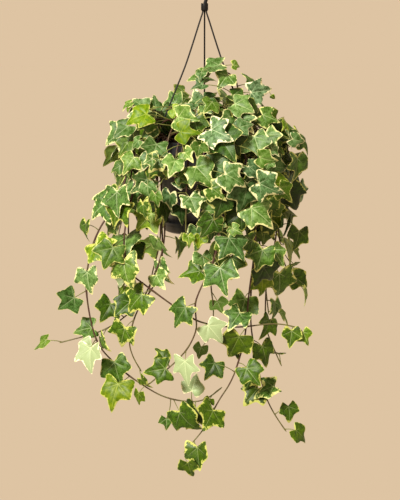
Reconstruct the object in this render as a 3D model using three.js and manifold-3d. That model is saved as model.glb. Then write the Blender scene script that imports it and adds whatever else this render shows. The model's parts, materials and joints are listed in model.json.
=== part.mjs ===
// A hanging pot of variegated ivy: a plastic hanger, a tapered pot with its drip tray, soil, and
// leafy stems that arch over the rim and trail below it. Millimetres, +Z up.
// The origin is the seat of the hook, where the hanger rests on whatever holds it up.
import * as THREE from 'three';
import { mergeVertices } from 'three/addons/utils/BufferGeometryUtils.js';
import Module from 'manifold-3d';

const wasm = await Module();
wasm.setup();

// Driving dimensions. Heights are measured from the top of the pot's rim unless they say otherwise.
const SEAT_ABOVE_RIM = 250;
const COLLAR_ABOVE_RIM = 188;
const RIM_RADIUS = 80;
const RIM_BAND = 18;
const WALL = 2;
const POT_DEPTH = 129.6;
const FOOT_RADIUS = 50;
const TRAY_BOTTOM = 132;
const TRAY_RADIUS = 63;
const SOIL_TOP = -14;
const HOLE_DEPTH = 12;
const ROUND_SIDES = 20;
const FIT_GAP = 0.3;
const STRAND_RADIUS = 1.15;
const STRAND_AZIMUTHS = { strand_left: 210, strand_right: 330, strand_back: 90 };
const SOCKET_OFFSET = 2.8;
const STEM_RADIUS = 1.6;
const STALK_HALF = 0.65;
const BLADE = 0.7;
const CLEARANCE = 0.35;
const SMALL_LEAF = 32;
const BUD_LEAF = 21;
const STRAIGHT_ENOUGH = 2.6;
const LONG_PITCH = 50;
const CROWN_WIDTH = 0.88;
const LEAF_WANDER = 2.25;
const STALK_LENGTH = 22;
const SEEN_FROM = 8;

const UP = new THREE.Vector3(0, 0, 1);
const FRONT = new THREE.Vector3(0, -1, 0);
const toRadians = (degrees) => (degrees * Math.PI) / 180;

const COLOURS = {
  charcoal: { color: 0x2c2a2b, roughness: 0.45, metalness: 0 },
  hanger: { color: 0x242223, roughness: 0.4, metalness: 0 },
  soil: { color: 0x33261c, roughness: 0.95, metalness: 0 },
  mature: { color: 0x5f7f56, roughness: 0.5, metalness: 0 },
  pale: { color: 0x93ad72, roughness: 0.5, metalness: 0 },
  young: { color: 0x9ab53c, roughness: 0.5, metalness: 0 },
};

// A closed mesh becomes a solid, turned the right way out.
function solidOf(geometry) {
  const bare = geometry.clone();
  bare.deleteAttribute('normal');
  bare.deleteAttribute('uv');
  const merged = mergeVertices(bare, 1e-4);
  const build = (triVerts) =>
    new wasm.Manifold(
      new wasm.Mesh({ numProp: 3, vertProperties: new Float32Array(merged.attributes.position.array), triVerts }),
    );
  const faces = Uint32Array.from(merged.index.array);
  const solid = build(faces);
  if (solid.volume() > 0) return solid;
  for (let i = 0; i < faces.length; i += 3) [faces[i], faces[i + 1]] = [faces[i + 1], faces[i]];
  return build(faces);
}

function geometryOf(solid) {
  const mesh = solid.getMesh();
  const geometry = new THREE.BufferGeometry();
  geometry.setAttribute('position', new THREE.BufferAttribute(mesh.vertProperties, 3));
  geometry.setIndex(new THREE.BufferAttribute(mesh.triVerts, 1));
  return geometry;
}

// A path of straight steps between given points.
class StepPath extends THREE.Curve {
  constructor(points) {
    super();
    this.points = points;
  }

  getPoint(t) {
    const last = this.points.length - 1;
    const i = Math.min(Math.floor(t * last), last - 1);
    return this.points[i].clone().lerp(this.points[i + 1], t * last - i);
  }

  getTangent(t) {
    const last = this.points.length - 1;
    const i = Math.round(t * last);
    const from = this.points[Math.max(i - 1, 0)];
    const to = this.points[Math.min(i + 1, last)];
    return to.clone().sub(from).normalize();
  }

  getTangentAt(u) {
    return this.getTangent(u);
  }

  getSpacedPoints() {
    return this.points.map((point) => point.clone());
  }
}

function roundSection(radius, sides) {
  const corners = [];
  for (let i = 0; i < sides; i += 1) {
    const angle = (2 * Math.PI * i) / sides;
    corners.push(new THREE.Vector2(radius * Math.cos(angle), radius * Math.sin(angle)));
  }
  return new THREE.Shape(corners);
}

function tube(points, radius, sides) {
  const path = new StepPath(points);
  const options = { steps: points.length - 1, extrudePath: path, bevelEnabled: false };
  return new THREE.ExtrudeGeometry(roundSection(radius, sides), options);
}

// A profile of [radius, height] pairs turned about the pot's axis.
function turned(profile, sides = ROUND_SIDES) {
  const points = profile.map(([radius, height]) => new THREE.Vector2(radius, height));
  return new THREE.LatheGeometry(points, sides).rotateX(Math.PI / 2);
}

function polar(radius, azimuth, height) {
  const angle = toRadians(azimuth);
  return new THREE.Vector3(radius * Math.cos(angle), radius * Math.sin(angle), height);
}

// The hanger: hook, collar with three blind sockets, and three strands with rim clips.
const HOOK_RADIUS = 10.6;
const HOOK_DEPTH = 6;
const HOOK_THICK = 3.2;
const COLLAR_RADIUS = 5;
const COLLAR_HEIGHT = 9;

function hookPath() {
  const centre = new THREE.Vector3(0, 0, SEAT_ABOVE_RIM + HOOK_THICK / 2 - HOOK_RADIUS);
  const shank = [
    [0, COLLAR_ABOVE_RIM],
    [1.2, COLLAR_ABOVE_RIM + 7],
    [4.2, COLLAR_ABOVE_RIM + 15],
    [8.2, COLLAR_ABOVE_RIM + 28],
    [10.4, COLLAR_ABOVE_RIM + 42],
  ].map(([x, z]) => new THREE.Vector3(x, 0, z));
  const bend = [];
  for (let degrees = 0; degrees <= 200; degrees += 20) {
    const angle = toRadians(degrees);
    const x = HOOK_RADIUS * Math.cos(angle);
    bend.push(new THREE.Vector3(x, 0, centre.z + HOOK_RADIUS * Math.sin(angle)));
  }
  return [...shank, ...bend];
}

function hookAndCollar() {
  const flat = new THREE.Shape([
    new THREE.Vector2(-HOOK_THICK / 2, -HOOK_DEPTH / 2),
    new THREE.Vector2(HOOK_THICK / 2, -HOOK_DEPTH / 2),
    new THREE.Vector2(HOOK_THICK / 2, HOOK_DEPTH / 2),
    new THREE.Vector2(-HOOK_THICK / 2, HOOK_DEPTH / 2),
  ]);
  const points = hookPath();
  const options = { steps: points.length - 1, extrudePath: new FlatPath(points), bevelEnabled: false };
  const hook = solidOf(new THREE.ExtrudeGeometry(flat, options));
  const low = COLLAR_ABOVE_RIM - COLLAR_HEIGHT / 2;
  const high = COLLAR_ABOVE_RIM + COLLAR_HEIGHT / 2;
  const profile = [
    [0, low],
    [COLLAR_RADIUS, low],
    [COLLAR_RADIUS, high - 1.5],
    [COLLAR_RADIUS - 1, high],
    [0, high],
  ];
  const body = turned(profile, 12);
  let solid = hook.add(solidOf(body));
  for (const azimuth of Object.values(STRAND_AZIMUTHS)) {
    const rib = polar(COLLAR_RADIUS - 0.2, azimuth, 0);
    solid = solid.add(solidOf(upright(rib, 1.5, low + 0.2, high + 2, 6)));
  }
  for (const azimuth of Object.values(STRAND_AZIMUTHS)) {
    const socket = polar(SOCKET_OFFSET, azimuth, 0);
    solid = solid.subtract(solidOf(upright(socket, STRAND_RADIUS + FIT_GAP, low - 2, low + 5, 6)));
  }
  return solid;
}

// A path in the XZ plane whose section keeps its flat side to the front all the way.
class FlatPath extends StepPath {
  computeFrenetFrames(segments) {
    const tangents = [];
    const normals = [];
    const binormals = [];
    for (let i = 0; i <= segments; i += 1) {
      const tangent = this.getTangent(i / segments);
      const binormal = new THREE.Vector3(0, 1, 0);
      tangents.push(tangent);
      normals.push(binormal.clone().cross(tangent));
      binormals.push(binormal);
    }
    return { tangents, normals, binormals };
  }
}

function upright(place, radius, low, high, sides) {
  const points = [
    new THREE.Vector3(place.x, place.y, low),
    new THREE.Vector3(place.x, place.y, high),
  ];
  return tube(points, radius, sides);
}

// The strand leaves its socket, bows out a little and comes down to its clip at the rim.
const STRAND_RUN = [
  [SOCKET_OFFSET, COLLAR_ABOVE_RIM - COLLAR_HEIGHT / 2 + 4],
  [SOCKET_OFFSET, COLLAR_ABOVE_RIM - COLLAR_HEIGHT / 2 - 2],
  [8.5, 166],
  [21.8, 130],
  [33, 102],
  [48, 70],
  [62, 40],
  [74, 16],
  [80.8 + STRAND_RADIUS, 2],
];
const CLIP_WIDTH = 7;
const CLIP_THICK = 2.2;

function strand(azimuth) {
  const run = STRAND_RUN.map(([radius, height]) => polar(radius, azimuth, height));
  const inner = RIM_RADIUS + 2 * FIT_GAP;
  const tab = new THREE.BoxGeometry(CLIP_THICK, CLIP_WIDTH, RIM_BAND + 8);
  tab.translate(inner + CLIP_THICK / 2, 0, 4 - (RIM_BAND + 8) / 2);
  const barb = new THREE.BoxGeometry(5 + CLIP_THICK, CLIP_WIDTH - 2, 2.4);
  barb.translate(inner - 5 + (5 + CLIP_THICK) / 2, 0, -RIM_BAND - 2 * FIT_GAP - 1.4);
  const turn = toRadians(azimuth);
  const clip = solidOf(tab.rotateZ(turn)).add(solidOf(barb.rotateZ(turn)));
  return solidOf(tube(run, STRAND_RADIUS, 5)).add(clip);
}

// The pot: a rim band round the top, a wall that draws in towards the foot.
const WALL_PROFILE = [
  [75, -RIM_BAND],
  [67, -45],
  [59.5, -76],
  [54, -102],
  [FOOT_RADIUS, -POT_DEPTH],
];

function pot() {
  const upwards = WALL_PROFILE.slice().reverse();
  const inside = WALL_PROFILE.slice(1, -1).map(([radius, height]) => [radius - WALL, height]);
  return solidOf(
    turned([
      [0, -POT_DEPTH],
      ...upwards,
      [RIM_RADIUS, -RIM_BAND],
      [RIM_RADIUS, 0],
      [RIM_RADIUS - WALL, 0],
      [RIM_RADIUS - WALL, -RIM_BAND + WALL],
      [WALL_PROFILE[0][0] - WALL, -RIM_BAND + WALL],
      ...inside,
      [FOOT_RADIUS - WALL, -POT_DEPTH + WALL],
      [0, -POT_DEPTH + WALL],
    ]),
  );
}

function saucer() {
  return solidOf(
    turned([
      [0, -TRAY_BOTTOM],
      [53, -TRAY_BOTTOM],
      [58.5, -TRAY_BOTTOM + 2.5],
      [TRAY_RADIUS - 0.6, -TRAY_BOTTOM + 11],
      [TRAY_RADIUS, -TRAY_BOTTOM + 16],
      [TRAY_RADIUS - 1.6, -TRAY_BOTTOM + 16],
      [TRAY_RADIUS - 2.4, -TRAY_BOTTOM + 11],
      [57.5, -TRAY_BOTTOM + 4.6],
      [52.5, -TRAY_BOTTOM + 2.1],
      [0, -TRAY_BOTTOM + 2.1],
    ]),
  );
}

function soil(stems) {
  const skin = WALL + 2 * FIT_GAP;
  const bottom = -POT_DEPTH + WALL + FIT_GAP;
  const side = WALL_PROFILE.slice(1, -1).reverse();
  const top = WALL_PROFILE[0][0] - skin;
  let solid = solidOf(
    turned([
      [0, bottom],
      [FOOT_RADIUS - skin, bottom],
      ...side.map(([radius, height]) => [radius - skin, height]),
      [top, SOIL_TOP],
      [0, SOIL_TOP],
    ]),
  );
  for (const stem of stems) {
    const hole = 2 * (STEM_RADIUS + 0.6);
    const pocket = new THREE.BoxGeometry(hole, hole, HOLE_DEPTH + 2);
    pocket.translate(stem.foot.x, stem.foot.y, SOIL_TOP - HOLE_DEPTH / 2 + 1);
    solid = solid.subtract(solidOf(pocket));
  }
  return solid;
}

// The ivy's leaf, as [angle from the midrib, length] round the point where the stalk joins it:
// a long middle lobe, two side lobes, and two small lobes at the heart-shaped base. Smaller leaves
// have three lobes, and the newest none.
const FIVE_LOBED = [
  [0, 1],
  [30, 0.53],
  [55, 0.78],
  [86, 0.48],
  [119, 0.53],
];
const THREE_LOBED = [
  [0, 1],
  [30, 0.52],
  [62, 0.68],
  [126, 0.46],
];
const UNLOBED = [
  [0, 1],
  [72, 0.52],
];
const NOTCH = 0.05;

function lobesFor(size) {
  if (size < BUD_LEAF) return UNLOBED;
  return size < SMALL_LEAF ? THREE_LOBED : FIVE_LOBED;
}

function outline(lobes) {
  const right = lobes.map(([angle, length]) => {
    const turn = toRadians(angle);
    return [length * Math.sin(turn), length * Math.cos(turn)];
  });
  const left = right.slice(1).reverse().map(([x, y]) => [-x, y]);
  return { right, left };
}

// A leaf with its stalk as one closed skin. The blade is two alike fans of triangles round the
// stalk's end, folded along the midrib. The stalk is a four-sided bar from the notch to the stem.
function leafSkin(leaf, spare) {
  const { right, left } = outline(lobesFor(leaf.size));
  const { root, base, tip, side, normal, size, fold, droop } = leaf;
  const half = STALK_HALF + spare;
  const notchY = -NOTCH - spare / size;
  const edge = [...right, [half / size, notchY], [-half / size, notchY], ...left];
  const points = [];
  for (const level of [BLADE / 2 + spare, -BLADE / 2 - spare]) {
    for (const [x, y] of [[0, 0], ...edge]) {
      const point = base.clone();
      point.addScaledVector(side, (size + 2 * spare) * x);
      point.addScaledVector(tip, (size + 2 * spare) * y);
      point.addScaledVector(normal, size * (fold * Math.abs(x) - droop * y * y) + level);
      points.push(point);
    }
  }
  const count = edge.length;
  const under = count + 1;
  const index = [];
  for (let i = 0; i < count; i += 1) {
    const a = 1 + i;
    const b = 1 + ((i + 1) % count);
    index.push(0, b, a, under, under + a, under + b);
    if (i !== right.length) index.push(a, b, under + b, a, under + b, under + a);
  }
  const run = base.clone().sub(root).normalize();
  const flat = new THREE.Vector3().crossVectors(side, run).normalize();
  for (const [u, v] of [[1, 1], [-1, 1], [-1, -1], [1, -1]]) {
    points.push(root.clone().addScaledVector(side, u * half).addScaledVector(flat, v * half));
  }
  const ring = [1 + right.length, 2 + right.length, under + 2 + right.length, under + 1 + right.length];
  const foot = points.length - 4;
  for (let i = 0; i < 4; i += 1) {
    const j = (i + 1) % 4;
    index.push(ring[i], ring[j], foot + j, ring[i], foot + j, foot + i);
  }
  index.push(foot, foot + 1, foot + 2, foot, foot + 2, foot + 3);
  const geometry = new THREE.BufferGeometry().setFromPoints(points);
  geometry.setIndex(index);
  return geometry;
}

// Repeatable draws between 0 and 1: the same stem, leaf and purpose always give the same number.
function draw(stem, leaf, purpose) {
  const wave = Math.sin(stem * 12.9898 + leaf * 78.233 + purpose * 37.719) * 43758.5453;
  return wave - Math.floor(wave);
}

// A smooth run through the given points, cut into equal straight steps: a few before the first
// leaf, then the same number between one leaf and the next.
const FINE = 12;
function evenSteps(way, pitch, every, first) {
  const fine = [];
  for (let i = 0; i < way.length - 1; i += 1) {
    const a = way[Math.max(i - 1, 0)];
    const b = way[i];
    const c = way[i + 1];
    const d = way[Math.min(i + 2, way.length - 1)];
    for (let j = 0; j < FINE; j += 1) {
      const t = j / FINE;
      const point = new THREE.Vector3();
      point.addScaledVector(a, 0.5 * (-t + 2 * t * t - t * t * t));
      point.addScaledVector(b, 0.5 * (2 - 5 * t * t + 3 * t * t * t));
      point.addScaledVector(c, 0.5 * (t + 4 * t * t - 3 * t * t * t));
      point.addScaledVector(d, 0.5 * (t * t * t - t * t));
      fine.push(point);
    }
  }
  fine.push(way[way.length - 1].clone());
  const along = [0];
  for (let i = 1; i < fine.length; i += 1) along.push(along[i - 1] + fine[i].distanceTo(fine[i - 1]));
  const total = along[along.length - 1];
  const gaps = Math.max(1, Math.round(total / pitch - first / every));
  const count = first + every * gaps;
  const steps = [];
  let k = 0;
  for (let i = 0; i <= count; i += 1) {
    const want = (total * i) / count;
    while (k < fine.length - 2 && along[k + 1] < want) k += 1;
    const share = (want - along[k]) / (along[k + 1] - along[k]);
    steps.push(fine[k].clone().lerp(fine[k + 1], share));
  }
  return steps;
}

// Ways to turn, reach and shrink a leaf until it clears its neighbours, in the order they are tried.
const TRIES = [
  [0, 1, 1],
  [0.4, 1, 1],
  [-0.4, 1, 1],
  [0, 1.5, 0.95],
  [0.8, 1.3, 0.95],
  [-0.8, 1.3, 0.95],
  [0, 0.65, 0.8],
  [1.3, 1.2, 0.85],
  [-1.3, 1.2, 0.85],
  [0.3, 1.9, 0.9],
  [0.5, 2.4, 0.85],
  [-0.6, 2.3, 0.85],
  [1.9, 1.5, 0.85],
  [-1.9, 1.5, 0.85],
  [-0.3, 0.9, 0.65],
  [0.9, 0.8, 0.6],
];

// Where a leaf sits: it faces out, forward and up, and its tip hangs to one side of the stem,
// left and right in turn.
function leafAt(stem, order, attempt) {
  const [twist, reach, shrink] = TRIES[attempt];
  const root = stem.points[stem.first + stem.every * order];
  const out = new THREE.Vector3(root.x, root.y, 0).normalize();
  const chance = (purpose) => draw(stem.seed, order, purpose) - 0.5;
  const forward = Math.min(Math.max(0.6 - root.y / 120, 0), 1.1) * stem.forward;
  const lift = 0.3 + 0.5 * Math.min(Math.max(root.z / 60, 0), 1);
  const normal = out.clone();
  normal.addScaledVector(FRONT, forward);
  normal.addScaledVector(UP, lift);
  normal.add(new THREE.Vector3(chance(1), chance(2), chance(3)).multiplyScalar(LEAF_WANDER));
  normal.normalize();
  const across = new THREE.Vector3().crossVectors(UP, normal).normalize();
  const down = new THREE.Vector3().crossVectors(across, normal);
  const hand = order % 2 === 0 ? 1 : -1;
  const yaw = hand * (0.5 + 0.8 * chance(4)) + twist;
  const tip = down.multiplyScalar(Math.cos(yaw)).addScaledVector(across, Math.sin(yaw));
  const side = new THREE.Vector3().crossVectors(tip, normal);
  const fromTip = stem.leaves - 1 - order;
  const age = Math.min(1, 0.5 + 0.17 * fromTip);
  const size = stem.size * age * (1 + 0.5 * chance(5)) * shrink;
  const stalk = stem.stalk * (1 + 0.7 * chance(6)) * reach * (0.6 + 0.4 * age);
  const way = tip.clone().multiplyScalar(0.8);
  way.addScaledVector(across, 0.25 * hand);
  way.addScaledVector(normal, 0.65);
  way.addScaledVector(UP, 0.15);
  way.normalize();
  const base = root.clone().addScaledVector(way, stalk);
  const fold = 0.1 + 0.35 * chance(7);
  const droop = 0.14 + 0.2 * chance(8);
  return { root, base, tip, side, normal, size, fold, droop };
}

// Openings among the leaves, as they are seen from the front and a little above: the pot's left
// front shows through three of them, and the left strand of the hanger through two. Each is its
// [left, low] and [right, high] corners, and how far back a leaf still hides what shows there.
const OPENINGS = [
  [[-60, -138], [-11, -96], 0],
  [[-54, -96], [-39, -64], 0],
  [[-61, -29], [-37, -6], -30],
  [[-50, 46], [-26, 110], -15],
  [[-66, 14], [-50, 46], -25],
];

// Places on a blade that show where it lies: its stalk's end, middle and tip, and its side lobes.
const BLADE_MARKS = [[0, 0], [0, 0.5], [0, 1], [0.6, 0.45], [-0.6, 0.45], [0.4, 0], [-0.4, 0]];

function hidesOpening({ base, side, tip, size }) {
  const rise = Math.tan(toRadians(SEEN_FROM));
  return BLADE_MARKS.some(([x, y]) => {
    const mark = base.clone().addScaledVector(side, x * size).addScaledVector(tip, y * size);
    const height = mark.z + mark.y * rise;
    return OPENINGS.some(([[left, low], [right, high], back]) => {
      return mark.y < back && mark.x > left && mark.x < right && height > low && height < high;
    });
  });
}

// Trailing stems, by hand, as points from the soil outwards: right, back, up from the rim's centre.
const TRAILS = {
  trail_left_far: {
    way: [[-44, -36, -6], [-60, -56, 9], [-68, -66, -14], [-66, -62, -70], [-60, -54, -125],
      [-62, -52, -172], [-78, -46, -214], [-115, -36, -252], [-150, -30, -274], [-206, -25, -291]],
    size: 34, pitch: 72, colour: 'mature',
  },
  trail_left_near: {
    way: [[-38, -44, -6], [-54, -64, 9], [-61, -74, -14], [-60, -72, -70], [-56, -66, -125],
      [-64, -66, -168], [-84, -68, -215], [-100, -68, -250], [-106, -66, -290], [-92, -64, -322]],
    size: 32, pitch: 72, colour: 'pale',
  },
  trail_left_side: {
    way: [[-50, -8, -6], [-78, -13, 14], [-98, -18, -14], [-107, -22, -70], [-109, -25, -120],
      [-107, -28, -166], [-102, -30, -205]],
    size: 34, pitch: 72, colour: 'mature',
  },
  trail_loop: {
    way: [[-50, -24, -6], [-78, -38, 12], [-102, -48, -20], [-121, -52, -84], [-146, -52, -118],
      [-162, -50, -160], [-168, -50, -212], [-154, -54, -282], [-122, -60, -320], [-90, -64, -344],
      [-56, -68, -362], [-20, -70, -368], [2, -70, -364], [22, -68, -350]],
    size: 33, pitch: 72, colour: 'mature',
  },
  trail_sweep: {
    way: [[-46, -30, -6], [-66, -50, 13], [-84, -66, -8], [-98, -78, -60], [-112, -86, -130],
      [-104, -90, -176], [-78, -92, -200], [-28, -94, -236], [0, -94, -250], [44, -92, -256],
      [88, -90, -252], [110, -88, -253], [130, -86, -258]],
    size: 33, pitch: 72, colour: 'pale',
  },
  trail_middle: {
    way: [[4, -48, -6], [7, -78, 11], [10, -102, -14], [18, -116, -80], [16, -118, -145],
      [-12, -116, -214], [-11, -112, -250], [-22, -108, -280], [-44, -104, -306], [-76, -100, -334]],
    size: 34, pitch: 72, colour: 'mature',
  },
  trail_long: {
    way: [[24, -42, -6], [40, -72, 11], [54, -92, -12], [68, -96, -80], [70, -90, -140],
      [62, -84, -210], [56, -80, -276], [42, -76, -326], [34, -74, -344], [18, -72, -370],
      [0, -70, -406], [-27, -68, -440]],
    size: 32, pitch: 72, colour: 'mature',
  },
  trail_right_long: {
    way: [[34, -30, -6], [62, -54, 12], [78, -68, -12], [84, -66, -80], [76, -56, -150],
      [68, -46, -190], [66, -42, -254], [74, -42, -312], [84, -42, -352], [92, -42, -376],
      [104, -42, -398], [116, -42, -416]],
    size: 31, pitch: 72, colour: 'pale',
  },
  trail_right: {
    way: [[50, -14, -6], [78, -22, 13], [98, -28, -10], [106, -26, -70], [102, -22, -140],
      [90, -22, -200], [88, -24, -254], [92, -26, -280], [110, -28, -322]],
    size: 33, pitch: 72, colour: 'mature',
  },
  trail_right_side: {
    way: [[51, 7, -6], [78, 12, 14], [97, 14, -8], [105, 8, -70], [107, -4, -130], [114, -8, -172],
      [126, -12, -204]],
    size: 34, pitch: 72, colour: 'mature',
  },
  trail_back_right: {
    way: [[44, 34, -6], [64, 50, 12], [80, 62, -12], [86, 66, -80], [82, 62, -150], [90, 64, -210],
      [96, 62, -262]],
    size: 34, pitch: 72, colour: 'pale',
  },
  trail_back: {
    way: [[12, 50, -6], [18, 76, 12], [22, 98, -12], [26, 104, -80], [20, 98, -150], [10, 94, -215],
      [14, 92, -270], [6, 90, -310]],
    size: 34, pitch: 72, colour: 'mature',
  },
  trail_back_left: {
    way: [[-34, 40, -6], [-52, 62, 12], [-66, 78, -12], [-70, 84, -80], [-66, 80, -150],
      [-78, 78, -205], [-84, 76, -240]],
    size: 34, pitch: 72, colour: 'mature',
  },
};

// Upright and reaching sprigs that break the dome's outline.
const SPRIGS = {
  sprig_top: {
    way: [[14, -14, -6], [28, -26, 28], [42, -37, 54], [46, -39, 78], [35, -39, 95], [12, -37, 101]],
    size: 34, pitch: 29, colour: 'mature', forward: 0.8,
  },
  sprig_right_tip: {
    way: [[30, 4, -6], [42, 4, 24], [58, -2, 48], [72, -8, 62], [82, -10, 76]],
    size: 22, pitch: 34, colour: 'young',
  },
  sprig_left_tip: {
    way: [[-30, -2, -6], [-46, -6, 22], [-64, -10, 38], [-82, -14, 47], [-94, -16, 50]],
    size: 23, pitch: 30, colour: 'young',
  },
  sprig_right_edge: {
    way: [[40, -10, -6], [64, -16, 20], [90, -22, 24], [108, -24, 16], [117, -24, -4], [119, -24, -32]],
    size: 31, pitch: 32, colour: 'mature', forward: 0.9,
  },
};

// Shoots that fill the crown, tier by tier: where they rise from the soil, and the arch that they
// follow outwards as [distance from the pot's axis, height]. The front is the fuller side.
const RIM_ARCH = [[54, -6], [70, 8], [90, 12], [104, -8], [111, -42], [109, -84], [104, -118]];
const TIERS = [
  {
    name: 'crown_top', size: 38, pitch: 28, azimuths: [232, 264, 298, 344, 40, 96, 166],
    arch: [[17, -6], [22, 16], [40, 38], [64, 50], [84, 46]],
  },
  {
    name: 'crown_mid', size: 40, pitch: 30, azimuths: [222, 241, 261, 283, 307, 326, 352],
    arch: [[34, -6], [42, 12], [64, 30], [90, 28], [110, 10], [118, -16]],
  },
  {
    name: 'crown_back', size: 40, pitch: 42, azimuths: [34, 84, 134, 198],
    arch: [[34, -6], [42, 12], [64, 30], [90, 28], [110, 10], [118, -16]],
  },
  {
    name: 'rim_front_left', size: 38, pitch: 29, azimuths: [236, 248],
    arch: RIM_ARCH.slice(0, 5),
  },
  {
    name: 'rim_front', size: 40, pitch: 30, azimuths: [259, 269, 284, 292, 310, 337, 354],
    arch: RIM_ARCH,
  },
  {
    name: 'rim_back', size: 40, pitch: 46, azimuths: [22, 60, 108, 152, 176],
    arch: RIM_ARCH.slice(0, 6),
  },
];
const COLOUR_CYCLE = ['mature', 'mature', 'pale', 'mature', 'young'];

function stemList() {
  const stems = [];
  const addStem = (name, way, options) => {
    const seed = stems.length + 1;
    const every = options.pitch > LONG_PITCH ? 4 : 2;
    const first = every;
    const points = evenSteps(way, options.pitch, every, first);
    const foot = new THREE.Vector3(way[0].x, way[0].y, SOIL_TOP - HOLE_DEPTH + 1);
    const leaves = (points.length - 1 - first) / every + 1;
    stems.push({ name, seed, first, every, foot, points, leaves, forward: 1, stalk: STALK_LENGTH, ...options });
  };
  for (const [name, entry] of Object.entries({ ...SPRIGS, ...TRAILS })) {
    const { way, ...options } = entry;
    addStem(name, way.map((point) => new THREE.Vector3(...point)), options);
  }
  for (const tier of TIERS) {
    tier.azimuths.forEach((azimuth, i) => {
      const name = `${tier.name}_${i + 1}`;
      const sway = 6 * (draw(i + 1, tier.arch.length, 9) - 0.5);
      const way = tier.arch.map(([radius, height], j) => {
        const point = polar(radius, azimuth + sway * Math.max(j - 1, 0), height);
        point.x *= CROWN_WIDTH;
        return point;
      });
      const colour = COLOUR_CYCLE[(i * 3 + tier.arch.length) % COLOUR_CYCLE.length];
      addStem(name, way, { size: tier.size, pitch: tier.pitch, colour });
    });
  }
  return stems;
}

// Everything that is already in place, with its box, so that a new leaf can keep clear of it.
class Placed {
  constructor() {
    this.items = [];
  }

  add(solid) {
    this.items.push({ solid, box: solid.boundingBox() });
  }

  meets(solid) {
    const { min, max } = solid.boundingBox();
    for (const { solid: other, box } of this.items) {
      const apart = [0, 1, 2].some((i) => min[i] > box.max[i] || max[i] < box.min[i]);
      if (!apart && solid.intersect(other).volume() > 0) return true;
    }
    return false;
  }
}

// Every other step is left out of the tube where the stem is nearly straight there.
function stemTube(stem, radius) {
  const kept = stem.points.filter((point, i) => {
    if (i <= stem.first || (i - stem.first) % 2 === 0) return true;
    const middle = stem.points[i - 1].clone().lerp(stem.points[i + 1], 0.5);
    return middle.distanceTo(point) > STRAIGHT_ENOUGH;
  });
  return solidOf(tube([stem.foot, ...kept], radius, 3));
}

function growLeaves(stem, placed, ownStem) {
  let plant = ownStem;
  for (let order = 0; order < stem.leaves; order += 1) {
    for (let attempt = 0; attempt < TRIES.length; attempt += 1) {
      const leaf = leafAt(stem, order, attempt);
      if (hidesOpening(leaf)) continue;
      const wide = solidOf(leafSkin(leaf, CLEARANCE));
      if (placed.meets(wide)) continue;
      plant = plant.add(solidOf(leafSkin(leaf, 0)));
      placed.add(wide);
      break;
    }
  }
  return plant;
}

const group = new THREE.Group();
const hung = new THREE.Group();
hung.position.z = -SEAT_ABOVE_RIM;
group.add(hung);

function addMesh(name, solid, colour) {
  const mesh = new THREE.Mesh(geometryOf(solid), new THREE.MeshStandardMaterial(COLOURS[colour]));
  mesh.name = name;
  hung.add(mesh);
}

const stems = stemList();
const placed = new Placed();
const fixed = {
  hook_and_collar: [hookAndCollar(), 'hanger'],
  pot: [pot(), 'charcoal'],
  saucer: [saucer(), 'charcoal'],
};
for (const [name, azimuth] of Object.entries(STRAND_AZIMUTHS)) fixed[name] = [strand(azimuth), 'hanger'];
for (const [name, [solid, colour]] of Object.entries(fixed)) {
  addMesh(name, solid, colour);
  placed.add(solid);
}
const ground = soil(stems);
addMesh('soil', ground, 'soil');
placed.add(ground);

const tubes = stems.map((stem) => stemTube(stem, STEM_RADIUS));
const wideTubes = stems.map((stem) => stemTube(stem, STEM_RADIUS + CLEARANCE));
stems.forEach((stem, i) => {
  const others = new Placed();
  others.items = placed.items.slice();
  wideTubes.forEach((wide, j) => {
    if (j !== i) others.add(wide);
  });
  const before = others.items.length;
  const plant = growLeaves(stem, others, tubes[i]);
  for (const item of others.items.slice(before)) placed.items.push(item);
  addMesh(stem.name, plant, stem.colour);
});

export default group;
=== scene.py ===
"""A hanging pot of variegated ivy: moulded hanger, pot and drip tray, peat, and leafy stems.

Every piece is worked out in millimetres from the top of the pot's rim, as the plant's rule is, and
put in place in metres. The origin of the scene is the seat of the hook.
"""

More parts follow.
